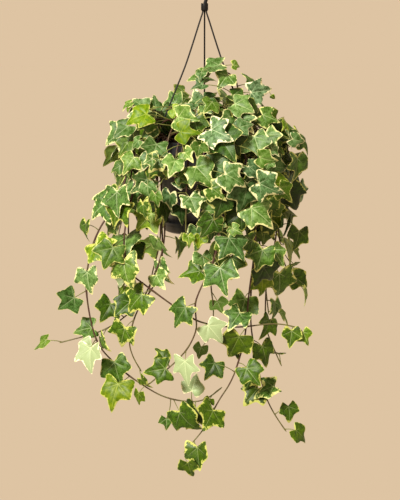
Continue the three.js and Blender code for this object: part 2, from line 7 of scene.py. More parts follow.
import json
import math
from functools import partial
import bpy
import numpy as np
from bpy.props import FloatProperty, FloatVectorProperty, IntProperty, PointerProperty
from bpy.types import NodeSocket, Operator, Panel, PropertyGroup
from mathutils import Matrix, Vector

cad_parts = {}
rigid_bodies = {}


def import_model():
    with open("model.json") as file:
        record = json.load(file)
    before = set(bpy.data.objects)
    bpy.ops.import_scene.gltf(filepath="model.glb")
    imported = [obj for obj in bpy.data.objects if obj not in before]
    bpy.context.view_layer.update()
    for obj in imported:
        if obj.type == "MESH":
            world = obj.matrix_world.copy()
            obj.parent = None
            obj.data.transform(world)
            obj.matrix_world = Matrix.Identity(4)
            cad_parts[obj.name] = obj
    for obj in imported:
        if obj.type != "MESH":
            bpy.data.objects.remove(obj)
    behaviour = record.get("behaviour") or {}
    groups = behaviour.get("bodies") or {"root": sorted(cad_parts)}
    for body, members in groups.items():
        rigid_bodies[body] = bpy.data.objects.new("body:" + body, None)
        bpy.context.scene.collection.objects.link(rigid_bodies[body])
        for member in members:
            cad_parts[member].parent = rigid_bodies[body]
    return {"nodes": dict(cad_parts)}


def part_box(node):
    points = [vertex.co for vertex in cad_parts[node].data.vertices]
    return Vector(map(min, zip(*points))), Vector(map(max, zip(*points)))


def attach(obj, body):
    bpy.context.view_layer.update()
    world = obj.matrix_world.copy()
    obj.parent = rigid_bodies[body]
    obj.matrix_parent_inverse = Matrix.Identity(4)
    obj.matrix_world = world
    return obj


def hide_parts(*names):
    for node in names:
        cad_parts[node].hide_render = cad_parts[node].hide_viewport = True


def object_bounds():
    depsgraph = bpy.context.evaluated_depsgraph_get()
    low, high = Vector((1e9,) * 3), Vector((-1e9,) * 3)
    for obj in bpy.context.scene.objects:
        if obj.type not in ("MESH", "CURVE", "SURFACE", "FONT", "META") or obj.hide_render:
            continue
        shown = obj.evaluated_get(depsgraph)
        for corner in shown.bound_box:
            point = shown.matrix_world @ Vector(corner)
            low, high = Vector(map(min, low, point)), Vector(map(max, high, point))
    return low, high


bl_info = {
    "name": "Hanging potted ivy",
    "version": (1, 0, 0),
    "blender": (4, 5, 0),
    "location": "View3D > Sidebar > Ivy",
    "description": "Builds a hanging pot of variegated ivy around its packed solids",
    "category": "Object",
}

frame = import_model()
CAD_BOX = [list(corner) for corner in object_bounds()]

MM = 0.001
RIM_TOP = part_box("pot")[1].z
UP = np.array([0.0, 0.0, 1.0])
FRONT = np.array([0.0, -1.0, 0.0])


def linear(code):
    """An sRGB hex colour as linear red, green and blue, by the standard's two-part curve."""
    channels = np.array([int(code[i:i + 2], 16) for i in (1, 3, 5)]) / 255.0
    low = channels / 12.92
    high = ((channels + 0.055) / 1.055) ** 2.4
    return tuple(np.where(channels <= 0.04045, low, high))


def colour_property(name, description, code):
    """A colour, given as its sRGB hex value."""
    return FloatVectorProperty(
        name=name, description=description, default=linear(code), size=3, min=0, max=1, subtype="COLOR"
    )


def length_property(name, description, length, least=0):
    """A length, and the least that it may be, given in millimetres."""
    return FloatProperty(
        name=name, description=description, default=length * MM, min=least * MM, unit="LENGTH"
    )


class PottedIvyLeaves(PropertyGroup):
    vein_spacing: length_property("Side vein spacing", "Distance between side veins", 4.2, 1)
    cream_width: length_property("Cream margin", "Mean width of a full-grown leaf's margin", 1.1)
    blade_thickness: length_property("Blade thickness", "Thickness of a leaf's blade", 0.45, 0.1)
    stalk_thickness: length_property("Stalk thickness", "Diameter of a leaf's stalk", 1.25, 0.4)
    stem_thickness: length_property("Stem thickness", "Diameter of a stem at the soil", 2.6, 1)
    infill: FloatProperty(
        name="Infill", description="Size of the younger leaves between the main ones", default=0.9,
        min=0, max=1, subtype="FACTOR",
    )


class PottedIvyColours(PropertyGroup):
    leaf_dark: colour_property("Leaf, dark patches", "Deep green patches along the veins", "#1a370d")
    leaf_grey: colour_property("Leaf, grey patches", "Grey-green of the blade", "#6a8466")
    leaf_green: colour_property("Leaf, green patches", "Clear green of a blade without grey", "#386520")
    leaf_young: colour_property("Young leaf", "Green of a young blade", "#527f28")
    leaf_lime: colour_property("Young leaf, lime patches", "Lime patches of a young blade", "#8dab4c")
    cream: colour_property("Cream margin", "Margin of a full-grown leaf", "#e3dfbb")
    yellow: colour_property("Yellow margin", "Margin of a young leaf", "#c3ca68")
    underside: colour_property("Underside", "Matt green of the blade's underside", "#587a30")
    stem_old: colour_property("Old stem", "Red-brown bark near the soil", "#3d1f15")
    stem_new: colour_property("New stem", "Green of the stem's tip and the leaf stalks", "#7d8a40")
    plastic: colour_property("Pot plastic", "Charcoal polypropylene", "#1f2124")
    hanger: colour_property("Hanger plastic", "Black nylon of the hanger", "#101011")
    peat: colour_property("Peat", "Moist potting soil", "#1f1710")
    studio: colour_property("Studio", "Pale sky and floor of the studio", "#dec4a3")


class PottedIvyPot(PropertyGroup):
    edge_round: length_property("Edge rounding", "Radius of the moulded edges", 0.9)
    turns: IntProperty(
        name="Steps round", description="Steps round the pot's axis", default=128, min=16
    )


class PottedIvyStage(PropertyGroup):
    distance: length_property("Camera distance", "From the camera to the plant", 2200)
    view_height: length_property("View height", "Height of the picture at the plant", 725)
    elevation: FloatProperty(
        name="Camera elevation", description="Angle at which the camera looks down",
        default=math.radians(8.0), unit="ROTATION",
    )
    key_strength: FloatProperty(
        name="Key light", description="Strength of the soft key light", default=5.8, min=0
    )
    back_strength: FloatProperty(
        name="Back light", description="Strength of the weak light behind the plant", default=1.6, min=0
    )


# Numbers worked out from places: the same place always gives the same number.

SCATTER = 43758.5453
DRAW_STEPS = (12.9898, 78.233, 37.719)
CORNER_STEPS = np.array([127.1, 311.7, 74.7])


def scattered(key):
    """Repeatable numbers from 0 to 1: the fraction of a large multiple of the key's sine."""
    wave = np.sin(key) * SCATTER
    return wave - np.floor(wave)


def draw(stem, leaf, purpose):
    """A number from 0 to 1 for each leaf of a stem, another one for each purpose."""
    return scattered(stem * DRAW_STEPS[0] + leaf * DRAW_STEPS[1] + purpose * DRAW_STEPS[2])


def value_noise(points, cell, seed):
    """Smooth noise from -1 to 1: random numbers at the corners of cubic cells, blended by s*s*(3-2s)."""
    place = points / cell
    corner = np.floor(place)
    blend = place - corner
    blend = blend * blend * (3 - 2 * blend)
    total = np.zeros(points.shape[:-1])
    for offset in np.ndindex(2, 2, 2):
        near = np.array(offset)
        weight = np.prod(np.where(near, blend, 1 - blend), axis=-1)
        total += weight * (2 * scattered((corner + near) @ CORNER_STEPS + seed) - 1)
    return total


# Directions and paths.

def unit(vectors):
    """The vectors' directions, each of length 1."""
    return vectors / np.linalg.norm(vectors, axis=-1, keepdims=True)


def outward(azimuth):
    """The level direction at an azimuth in degrees, which is 0 to the right and 90 to the back."""
    turn = math.radians(azimuth)
    return np.array([math.cos(turn), math.sin(turn), 0.0])


def run_lengths(path):
    """Length along a path up to each of its points."""
    return np.concatenate([[0], np.cumsum(np.linalg.norm(np.diff(path, axis=0), axis=1))])


def points_at(path, along, want):
    """Points of a path at the wanted places, where along gives the place of each of its own points."""
    return np.stack([np.interp(want, along, path[:, axis]) for axis in range(3)], -1)


def smooth_path(points, steps):
    """A Catmull-Rom curve through the points, with the given number of equal steps of its parameter
    between one point and the next: a cubic whose slope at each point is half the chord across it."""
    points = np.asarray(points, float)
    held = np.vstack([points[:1], points, points[-1:]])
    a, b, c, d = held[:-3, None], held[1:-2, None], held[2:-1, None], held[3:, None]
    t = (np.arange(steps) / steps)[None, :, None]
    curve = 0.5 * (a * (-t + 2 * t**2 - t**3) + b * (2 - 5 * t**2 + 3 * t**3))
    curve += 0.5 * (c * (t + 4 * t**2 - 3 * t**3) + d * (t**3 - t**2))
    return np.vstack([curve.reshape(-1, points.shape[1]), points[-1:]])


# Surfaces, as parts of a piece: a dictionary of points, faces, a material number, and what the
# materials read.

def grid_faces(rows, columns, around):
    """Four-sided faces of a grid of rows and columns, closed round the columns if asked."""
    last = columns if around else columns - 1
    i, j = np.meshgrid(np.arange(rows - 1), np.arange(last), indexing="ij")
    k = (j + 1) % columns
    faces = np.stack([i * columns + j, i * columns + k, (i + 1) * columns + k, (i + 1) * columns + j], -1)
    return faces.reshape(-1, 4)


def fan_faces(pole, ring, outward):
    """Three-sided faces from one point to each step of a closed ring."""
    ring = np.asarray(ring)
    after = np.roll(ring, -1)
    pair = (ring, after) if outward else (after, ring)
    return np.stack([np.full(len(ring), pole), *pair], -1)


def sweep(path, section, across=None, grow=None):
    """A section carried along a path, closed at both ends.
    Point (i, j) = path i + grow i * (section j's u * U i + section j's v * V i). U is the given
    direction made square to the path, and V is the path's direction crossed with U."""
    path = np.asarray(path, float)
    along = unit(np.gradient(path, axis=0))
    if across is None:
        across = np.linalg.svd(along)[2][-1]
    flat = unit(across - (along @ across)[:, None] * along)
    other = np.cross(along, flat)
    size = np.ones(len(path)) if grow is None else grow
    section = np.asarray(section, float)
    u = section[None, :, 0, None] * size[:, None, None]
    v = section[None, :, 1, None] * size[:, None, None]
    points = path[:, None] + u * flat[:, None] + v * other[:, None]
    rows, columns = points.shape[:2]
    quads = grid_faces(rows, columns, True)
    count = rows * columns
    first_ring = np.arange(columns)
    caps = np.vstack([
        fan_faces(count, first_ring, False),
        fan_faces(count + 1, count - columns + first_ring, True),
    ])
    points = np.vstack([points.reshape(-1, 3), path[:1], path[-1:]])
    return points, quads, caps


def circle(radius, sides):
    """Even points of a circle, anticlockwise."""
    angle = 2 * np.pi * np.arange(sides) / sides
    return np.stack([radius * np.cos(angle), radius * np.sin(angle)], -1)


def rounded_box(width, height, radius, steps=3):
    """A rectangle with round corners, anticlockwise: quarter circles about the four corner centres."""
    turn = np.linspace(0, np.pi / 2, steps + 1)
    corners = []
    for k, (sx, sy) in enumerate([(1, 1), (-1, 1), (-1, -1), (1, -1)]):
        angle = turn + k * np.pi / 2
        centre = np.array([sx * (width / 2 - radius), sy * (height / 2 - radius)])
        corners.append(centre + radius * np.stack([np.cos(angle), np.sin(angle)], -1))
    return np.vstack(corners)


def softened(profile, radius, steps=4):
    """A profile of straight runs with every corner replaced by a curve: the quadratic Bezier arc from
    one radius before the corner to one radius after it, or a third of a shorter run."""
    profile = np.asarray(profile, float)
    result = [profile[:1]]
    t = np.linspace(0, 1, steps + 1)[:, None]
    for before, corner, after in zip(profile[:-2], profile[1:-1], profile[2:]):
        back, ahead = before - corner, after - corner
        reach_back = min(radius, np.linalg.norm(back) / 3)
        reach_ahead = min(radius, np.linalg.norm(ahead) / 3)
        start = corner + unit(back) * reach_back
        end = corner + unit(ahead) * reach_ahead
        result.append((1 - t) ** 2 * start + 2 * t * (1 - t) * corner + t**2 * end)
    result.append(profile[-1:])
    return np.vstack(result)


def turned(profile, steps):
    """A profile of radius and height turned about the upright axis through the pot's middle:
    (radius cos a, radius sin a, height). It starts and ends on the axis."""
    profile = np.asarray(profile, float)
    inner = profile[1:-1]
    angle = 2 * np.pi * np.arange(steps) / steps
    x = inner[:, :1] * np.cos(angle)
    y = inner[:, :1] * np.sin(angle)
    z = np.repeat(inner[:, 1:], steps, axis=1)
    points = np.stack([x, y, z], -1).reshape(-1, 3)
    count = len(points)
    quads = grid_faces(len(inner), steps, True)
    ring = np.arange(steps)
    caps = np.vstack([fan_faces(count, ring, False), fan_faces(count + 1, count - steps + ring, True)])
    poles = np.array([[0, 0, profile[0, 1]], [0, 0, profile[-1, 1]]])
    return np.vstack([points, poles]), quads, caps


def part(points, faces, slots=0, **layers):
    """One stretch of surface: points, arrays of faces, each with a material's number, and layers,
    which are values for each point, by name."""
    slots = np.broadcast_to(slots, len(faces))
    return {"points": points, "faces": list(zip(faces, slots)), "layers": layers}


def solid(surface):
    """The part made by a closed surface, given as its points and its arrays of faces."""
    return part(surface[0], surface[1:])


LAYER_WIDTH = {"edge": 1, "vein": 3, "place": 3, "look": 4, "rim": 1}
LAYER_KIND = {1: ("FLOAT", "value"), 3: ("FLOAT_VECTOR", "vector"), 4: ("FLOAT_COLOR", "color")}


def build_piece(name, parts, materials):
    """A mesh object from its parts, in metres, with one attribute for each layer that a part has."""
    points, starts, corners, slots = [], [], [], []
    layers = {key: [] for item in parts for key in item["layers"]}
    base = 0
    for item in parts:
        count = len(item["points"])
        points.append(item["points"])
        for faces, slot in item["faces"]:
            corners.append((faces + base).ravel())
            starts.append(np.full(len(faces), faces.shape[1]))
            slots.append(np.full(len(faces), slot))
        for key, values in layers.items():
            blank = np.zeros((count, LAYER_WIDTH[key]))
            values.append(np.asarray(item["layers"].get(key, blank)).reshape(count, -1))
        base += count
    points = np.vstack(points) * MM + [0, 0, RIM_TOP]
    corners = np.concatenate(corners)
    sizes = np.concatenate(starts)
    mesh = bpy.data.meshes.new(name)
    mesh.vertices.add(len(points))
    mesh.vertices.foreach_set("co", points.ravel())
    mesh.loops.add(len(corners))
    mesh.loops.foreach_set("vertex_index", corners)
    mesh.polygons.add(len(sizes))
    mesh.polygons.foreach_set("loop_start", np.concatenate([[0], np.cumsum(sizes)[:-1]]))
    mesh.polygons.foreach_set("material_index", np.concatenate(slots))
    mesh.polygons.foreach_set("use_smooth", np.ones(len(sizes), bool))
    for material in materials:
        mesh.materials.append(material)
    mesh.update(calc_edges=True)
    for key, values in layers.items():
        write_layer(mesh, key, np.vstack(values))
    obj = bpy.data.objects.new(name, mesh)
    bpy.context.scene.collection.objects.link(obj)
    return obj


def write_layer(mesh, key, values):
    """Layer 'rim' marks the blade's outline, whose edges stay sharp. The others are attributes."""
    if key == "rim":
        ends = np.empty(2 * len(mesh.edges), np.int32)
        mesh.edges.foreach_get("vertices", ends)
        on_rim = values[:, 0] > 0.5
        sharp = on_rim[ends.reshape(-1, 2)].all(axis=1)
        mesh.attributes.new("sharp_edge", "BOOLEAN", "EDGE").data.foreach_set("value", sharp)
        return
    kind, field = LAYER_KIND[values.shape[1]]
    mesh.attributes.new(key, kind, "POINT").data.foreach_set(field, values.astype(np.float32).ravel())


def dress(obj, slot, *nodes):
    """The piece rides with the pot and stands for these nodes, which it hides. The slot is not used."""
    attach(obj, "root")
    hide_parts(*nodes)


# The ivy's rule: where its stems run and where each leaf sits. Millimetres from the rim's centre.

FINE_STEPS = 12
LONG_PITCH = 50
SMALL_LEAF = 28
BUD_LEAF = 13
SOIL_TOP = -14
HOLE_DEPTH = 12
# A blade's tip in the frame's mesh: its height over the blade's plane before it droops, and how near
# a corner of the mesh must be to be that tip.
TIP_LEVEL = 0.35
SAME_POINT = 0.06

# Ways that a leaf turns, reaches and shrinks to clear its neighbours, in the order they are tried.
TRIES = np.array([
    [0, 1, 1], [0.4, 1, 1], [-0.4, 1, 1], [0, 1.5, 0.95], [0.8, 1.3, 0.95], [-0.8, 1.3, 0.95],
    [0, 0.65, 0.8], [1.3, 1.2, 0.85], [-1.3, 1.2, 0.85], [0.3, 1.9, 0.9], [0.5, 2.4, 0.85],
    [-0.6, 2.3, 0.85], [1.9, 1.5, 0.85], [-1.9, 1.5, 0.85], [-0.3, 0.9, 0.65], [0.9, 0.8, 0.6],
])

# Upright and reaching sprigs: points from the soil outwards as [right, back, up].
SPRIGS = {
    "sprig_top": {
        "way": [[14, -14, -6], [28, -26, 28], [42, -37, 54], [46, -39, 78], [35, -39, 95], [12, -37, 101]],
        "size": 34, "pitch": 29, "kind": "mature", "forward": 0.8,
    },
    "sprig_right_tip": {
        "way": [[30, 4, -6], [42, 4, 24], [58, -2, 48], [72, -8, 62], [82, -10, 76]],
        "size": 22, "pitch": 34, "kind": "young",
    },
    "sprig_left_tip": {
        "way": [[-30, -2, -6], [-46, -6, 22], [-64, -10, 38], [-82, -14, 47], [-94, -16, 50]],
        "size": 23, "pitch": 30, "kind": "young",
    },
    "sprig_right_edge": {
        "way": [[40, -10, -6], [64, -16, 20], [90, -22, 24], [108, -24, 16], [117, -24, -4], [119, -24, -32]],
        "size": 31, "pitch": 32, "kind": "mature", "forward": 0.9,
    },
}

# Trailing stems, from the soil over the rim and down.
TRAILS = {
    "trail_left_far": {
        "way": [[-44, -36, -6], [-60, -56, 9], [-68, -66, -14], [-66, -62, -70], [-60, -54, -125],
                [-62, -52, -172], [-78, -46, -214], [-115, -36, -252], [-150, -30, -274], [-206, -25, -291]],
        "size": 34, "kind": "mature",
    },
    "trail_left_near": {
        "way": [[-38, -44, -6], [-54, -64, 9], [-61, -74, -14], [-60, -72, -70], [-56, -66, -125],
                [-64, -66, -168], [-84, -68, -215], [-100, -68, -250], [-106, -66, -290], [-92, -64, -322]],
        "size": 32, "kind": "pale",
    },
    "trail_left_side": {
        "way": [[-50, -8, -6], [-78, -13, 14], [-98, -18, -14], [-107, -22, -70], [-109, -25, -120],
                [-107, -28, -166], [-102, -30, -205]],
        "size": 34, "kind": "mature",
    },
    "trail_loop": {
        "way": [[-50, -24, -6], [-78, -38, 12], [-102, -48, -20], [-121, -52, -84], [-146, -52, -118],
                [-162, -50, -160], [-168, -50, -212], [-154, -54, -282], [-122, -60, -320], [-90, -64, -344],
                [-56, -68, -362], [-20, -70, -368], [2, -70, -364], [22, -68, -350]],
        "size": 33, "kind": "mature",
    },
    "trail_sweep": {
        "way": [[-46, -30, -6], [-66, -50, 13], [-84, -66, -8], [-98, -78, -60], [-112, -86, -130],
                [-104, -90, -176], [-78, -92, -200], [-28, -94, -236], [0, -94, -250], [44, -92, -256],
                [88, -90, -252], [110, -88, -253], [130, -86, -258]],
        "size": 33, "kind": "pale",
    },
    "trail_middle": {
        "way": [[4, -48, -6], [7, -78, 11], [10, -102, -14], [18, -116, -80], [16, -118, -145],
                [-12, -116, -214], [-11, -112, -250], [-22, -108, -280], [-44, -104, -306],
                [-76, -100, -334]],
        "size": 34, "kind": "mature",
    },
    "trail_long": {
        "way": [[24, -42, -6], [40, -72, 11], [54, -92, -12], [68, -96, -80], [70, -90, -140],
                [62, -84, -210], [56, -80, -276], [42, -76, -326], [34, -74, -344], [18, -72, -370],
                [0, -70, -406], [-27, -68, -440]],
        "size": 32, "kind": "mature",
    },
    "trail_right_long": {
        "way": [[34, -30, -6], [62, -54, 12], [78, -68, -12], [84, -66, -80], [76, -56, -150],
                [68, -46, -190], [66, -42, -254], [74, -42, -312], [84, -42, -352], [92, -42, -376],
                [104, -42, -398], [116, -42, -416]],
        "size": 31, "kind": "pale",
    },
    "trail_right": {
        "way": [[50, -14, -6], [78, -22, 13], [98, -28, -10], [106, -26, -70], [102, -22, -140],
                [90, -22, -200], [88, -24, -254], [92, -26, -280], [110, -28, -322]],
        "size": 33, "kind": "mature",
    },
    "trail_right_side": {
        "way": [[51, 7, -6], [78, 12, 14], [97, 14, -8], [105, 8, -70], [107, -4, -130],
                [114, -8, -172], [126, -12, -204]],
        "size": 34, "kind": "mature",
    },
    "trail_back_right": {
        "way": [[44, 34, -6], [64, 50, 12], [80, 62, -12], [86, 66, -80], [82, 62, -150], [90, 64, -210],
                [96, 62, -262]],
        "size": 34, "kind": "pale",
    },
    "trail_back": {
        "way": [[12, 50, -6], [18, 76, 12], [22, 98, -12], [26, 104, -80], [20, 98, -150], [10, 94, -215],
                [14, 92, -270], [6, 90, -310]],
        "size": 34, "kind": "mature",
    },
    "trail_back_left": {
        "way": [[-34, 40, -6], [-52, 62, 12], [-66, 78, -12], [-70, 84, -80], [-66, 80, -150],
                [-78, 78, -205], [-84, 76, -240]],
        "size": 34, "kind": "mature",
    },
}
TRAIL_PITCH = 72

# Shoots that fill the crown, tier by tier: azimuths, and the arch as [distance from the axis, height].
DOME_ARCH = [[34, -6], [42, 12], [64, 30], [90, 28], [110, 10], [118, -16]]
RIM_ARCH = [[54, -6], [70, 8], [90, 12], [104, -8], [111, -42], [109, -84], [104, -118]]
TOP_ARCH = [[17, -6], [22, 16], [40, 38], [64, 50], [84, 46]]
TIERS = [
    ("crown_top", 38, 28, [232, 264, 298, 344, 40, 96, 166], TOP_ARCH),
    ("crown_mid", 40, 30, [222, 241, 261, 283, 307, 326, 352], DOME_ARCH),
    ("crown_back", 40, 42, [34, 84, 134, 198], DOME_ARCH),
    ("rim_front_left", 38, 29, [236, 248], RIM_ARCH[:5]),
    ("rim_front", 40, 30, [259, 269, 284, 292, 310, 337, 354], RIM_ARCH),
    ("rim_back", 40, 46, [22, 60, 108, 152, 176], RIM_ARCH[:6]),
]
KIND_CYCLE = ["mature", "mature", "pale", "mature", "young"]
TIER_SWAY = 6
CROWN_WIDTH = 0.88
LEAF_WANDER = 2.25
STALK_LENGTH = 22.0
TIP_AGE = 0.5
AGE_STEP = 0.17
# How much a leaf faces forward: at the pot's axis, fading to the back over a run, and at most. How
# much it faces up: at least, and the height where that is most.
FORWARD_MIDDLE = 0.6
FORWARD_RUN = 120
FORWARD_MOST = 1.1
LIFT_LEAST = 0.3
LIFT_HEIGHT = 60
# How far its tip hangs aside and how much a draw turns it, in radians, and how much its size and its
# stalk's length vary. The stalk goes to the tip, aside, with the blade's face, and up.
TIP_ASIDE = 0.5
TIP_VARIES = 0.8
SIZE_VARIES = 0.5
STALK_VARIES = 0.7
STALK_YOUNG = 0.6
STALK_WAY = (0.8, 0.25, 0.65, 0.15)
FOLD = (0.1, 0.35)
DROOP = (0.14, 0.2)


def even_steps(way, pitch, every):
    """A smooth run through the given points, cut into equal steps: the given number before the first
    leaf, and as many between one leaf and the next."""
    fine = smooth_path(way, FINE_STEPS)
    along = run_lengths(fine)
    gaps = max(1, math.floor(along[-1] / pitch - 0.5))
    return points_at(fine, along, np.linspace(0, along[-1], every * (gaps + 1) + 1))


def stem_list():
    """Every stem with its points, in the order that numbers them."""
    stems = []

    def add_stem(name, way, size, kind, pitch=TRAIL_PITCH, forward=1.0):
        every = 4 if pitch > LONG_PITCH else 2
        points = even_steps(np.array(way, float), pitch, every)
        stems.append({
            "name": name, "seed": len(stems) + 1, "every": every, "points": points, "size": size,
            "leaves": (len(points) - 1) // every, "kind": kind, "forward": forward,
            "stalk": STALK_LENGTH, "foot": np.array([*way[0][:2], SOIL_TOP - HOLE_DEPTH + 1], float),
        })

    for name, entry in {**SPRIGS, **TRAILS}.items():
        add_stem(name, **entry)
    for tier, size, pitch, azimuths, arch in TIERS:
        for i, azimuth in enumerate(azimuths):
            sway = TIER_SWAY * (draw(i + 1, len(arch), 9) - 0.5)
            turn = np.radians(azimuth + sway * np.maximum(np.arange(len(arch)) - 1, 0))
            radius, height = np.array(arch, float).T
            way = np.stack([CROWN_WIDTH * radius * np.cos(turn), radius * np.sin(turn), height], -1)
            kind = KIND_CYCLE[(i * 3 + len(arch)) % len(KIND_CYCLE)]
            add_stem(f"{tier}_{i + 1}", way, size, kind, pitch)
    return stems


def leaf_age(stem, order):
    """A leaf's age from 0 to 1: the last leaf of a stem is the youngest."""
    return np.minimum(1, TIP_AGE + AGE_STEP * (stem["leaves"] - 1 - order))


def leaf_choices(stem, order, root, twist, reach, shrink, loose=LEAF_WANDER, level=0.5):
    """Leaves that hang from the given points of a stem, for each way to turn, reach and shrink.
    A leaf faces out, forward and up by draws of its own, and its tip hangs left and right in turn.
    order and root are for each leaf, and the ways are a column, so results are [way, leaf]. Loose
    is how much the draws turn a leaf, and level is how flat the highest ones lie."""
    def chance(purpose):
        return draw(stem["seed"], order, purpose) - 0.5

    out = unit(root * [1, 1, 0])
    forward = np.clip(FORWARD_MIDDLE - root[:, 1] / FORWARD_RUN, 0, FORWARD_MOST) * stem["forward"]
    lift = LIFT_LEAST + level * np.clip(root[:, 2] / LIFT_HEIGHT, 0, 1)
    wander = loose * np.stack([chance(1), chance(2), chance(3)], -1)
    normal = unit(out + forward[:, None] * FRONT + lift[:, None] * UP + wander)
    across = unit(np.cross(UP, normal))
    down = np.cross(across, normal)
    hand = np.where(np.floor(order) % 2 == 0, 1, -1)
    yaw = (hand * (TIP_ASIDE + TIP_VARIES * chance(4)) + twist)[..., None]
    tip = down * np.cos(yaw) + across * np.sin(yaw)
    age = leaf_age(stem, order)
    size = stem["size"] * age * (1 + SIZE_VARIES * chance(5)) * shrink
    grown = STALK_YOUNG + (1 - STALK_YOUNG) * age
    stalk = stem["stalk"] * (1 + STALK_VARIES * chance(6)) * reach * grown
    ahead, aside, over, up = STALK_WAY
    way = unit(tip * ahead + across * aside * hand[:, None] + normal * over + UP * up)
    shape = size.shape
    return {
        "root": np.broadcast_to(root, shape + (3,)),
        "base": root + way * stalk[..., None],
        "tip": tip,
        "side": np.cross(tip, normal),
        "normal": np.broadcast_to(normal, shape + (3,)),
        "size": size,
        "fold": np.broadcast_to(FOLD[0] + FOLD[1] * chance(7), shape),
        "droop": np.broadcast_to(DROOP[0] + DROOP[1] * chance(8), shape),
        "order": np.broadcast_to(order, shape),
        "bright": np.full(shape, np.nan),
    }


def chosen(leaves, which):
    """Some of the leaves, by any index of their arrays."""
    return {key: values[which] for key, values in leaves.items()}


def joined(groups):
    """The leaves of several groups as one group."""
    return {key: np.concatenate([group[key] for group in groups]) for key in groups[0]}


def parted(leaves, sizes):
    """The leaves of one group as several groups of the given sizes, in their order."""
    ends = np.cumsum(sizes)
    return [chosen(leaves, slice(end - size, end)) for end, size in zip(ends, sizes)]


def placed_leaves(stem):
    """The leaves that the frame's node has: for each leaf, the first way whose tip is in its mesh."""
    mesh = frame["nodes"][stem["name"]].data
    corners = np.empty(3 * len(mesh.vertices))
    mesh.vertices.foreach_get("co", corners)
    corners = (corners.reshape(-1, 3) - [0, 0, RIM_TOP]) / MM
    order = np.arange(stem["leaves"], dtype=float)
    root = stem["points"][stem["every"]::stem["every"]]
    twist, reach, shrink = TRIES.T[:, :, None]
    choices = leaf_choices(stem, order, root, twist, reach, shrink)
    point = choices["base"] + choices["tip"] * choices["size"][..., None]
    rise = TIP_LEVEL - choices["size"] * choices["droop"]
    point = point + choices["normal"] * rise[..., None]
    gap = np.linalg.norm(point[:, :, None] - corners, axis=-1).min(axis=-1)
    found = gap < SAME_POINT
    leaf = np.flatnonzero(found.any(axis=0))
    return chosen(choices, (found.argmax(axis=0)[leaf], leaf))


# The blade. Its length is 1 from the stalk's end to the tip, x is to its right and y to its tip.
# A leafy stem's materials are, by number: the blade's upper side, its underside, and bark.

UPPER, UNDER, BARK = 0, 1, 2
NOTCH = 0.05
NOTCH_WAY = np.array([0.75, -0.66])

# Half outlines from the notch to the tip: [angle from the midrib, length, kind of corner, and the
# angle of the main vein that feeds the stretch before it].
FORMS = {
    "five": [(119, 0.55, "round", 119), (87, 0.55, "round", 119), (55, 0.80, "tip", 55),
             (30, 0.60, "round", 55), (0, 1.0, "tip", 0)],
    "three": [(126, 0.50, "round", 62), (62, 0.72, "tip", 62), (30, 0.58, "round", 62),
              (0, 1.0, "tip", 0)],
    "plain": [(72, 0.56, "round", 0), (0, 1.0, "tip", 0)],
}
OUTLINE_STEPS = {"five": 5, "three": 4, "plain": 6}
RINGS = {
    "five": np.array([0.22, 0.45, 0.66, 0.82, 0.93]),
    "three": np.array([0.25, 0.5, 0.74, 0.91]),
    "plain": np.array([0.3, 0.6, 0.88]),
}
TIP_HANDLE = 0.38
TIP_BULGE = math.tan(math.radians(19))
ROUND_HANDLE = 0.25
NOTCH_HANDLE = 0.4
LOBE_TURN = math.radians(4)
LOBE_STRETCH = 0.07

# The blade's relief, in blade lengths: how soft the fold is, the pads between the veins, and the
# least and most of what each leaf draws: two waves along the margin, each with its height and how
# many go round, the droop of the tip, and the cup of the margin.
FOLD_SOFT = 0.04
PAD_HEIGHT = 0.03
PAD_WIDTH = 0.07
WAVES = [(3, (0.015, 0.055), (2, 5)), (4, (0.003, 0.014), (9, 13))]
FULL_TURN = 6.3
TIP_DROOP = (-0.05, 0.24)
CUP = (-0.1, 0.28)
CUP_TO_TIP = 0.3


def form_of(size):
    """The form of a blade of a size in millimetres: the largest have five lobes."""
    return "plain" if size < BUD_LEAF else "three" if size < SMALL_LEAF else "five"


def leaf_outlines(form, count, rng):
    """Outlines [leaf, point, (x, y)], anticlockwise from the notch. Cubic Bezier arcs join the lobes'
    tips and the hollows: they leave a tip a little outside the straight line, and pass a hollow or a
    round lobe square to its radius. Each leaf's lobes are turned and stretched by draws."""
    keys = FORMS[form]
    sides = [(1, key) for key in keys] + [(-1, key) for key in keys[-2::-1]]
    angle = np.radians([side * key[0] for side, key in sides])
    length = np.array([key[1] for _, key in sides])
    free = np.arange(len(sides)) != len(keys) - 1
    angle = angle + free * LOBE_TURN * rng.standard_normal((count, len(sides)))
    length = length * (1 + free * LOBE_STRETCH * rng.standard_normal((count, len(sides))))
    corner = length[..., None] * np.stack([np.sin(angle), np.cos(angle)], -1)
    notch = np.broadcast_to([0, -NOTCH], (count, 1, 2))
    start = np.concatenate([notch, corner], axis=1)
    end = np.concatenate([corner, notch], axis=1)
    run = end - start
    reach = np.linalg.norm(run, axis=-1, keepdims=True)
    straight = TIP_HANDLE * run
    bulge = TIP_BULGE * straight[..., ::-1] * [1, -1]
    sharp = np.array([key[2] == "tip" for _, key in sides])[:, None]
    square = ROUND_HANDLE * unit(corner)[..., ::-1] * [-1, 1]
    after = np.where(sharp, straight[:, 1:] + bulge[:, 1:], reach[:, 1:] * square)
    before = np.where(sharp, bulge[:, :-1] - straight[:, :-1], -reach[:, :-1] * square)
    leave = np.concatenate([NOTCH_HANDLE * reach[:, :1] * NOTCH_WAY, after], axis=1)
    arrive = np.concatenate([before, NOTCH_HANDLE * reach[:, -1:] * NOTCH_WAY * [-1, 1]], axis=1)
    t = (np.arange(OUTLINE_STEPS[form]) / OUTLINE_STEPS[form])[None, None, :, None]
    p0, p3 = start[:, :, None], end[:, :, None]
    p1, p2 = (start + leave)[:, :, None], (end + arrive)[:, :, None]
    arcs = (1 - t) ** 3 * p0 + 3 * t * (1 - t) ** 2 * p1 + 3 * t**2 * (1 - t) * p2 + t**3 * p3
    return arcs.reshape(count, -1, 2)


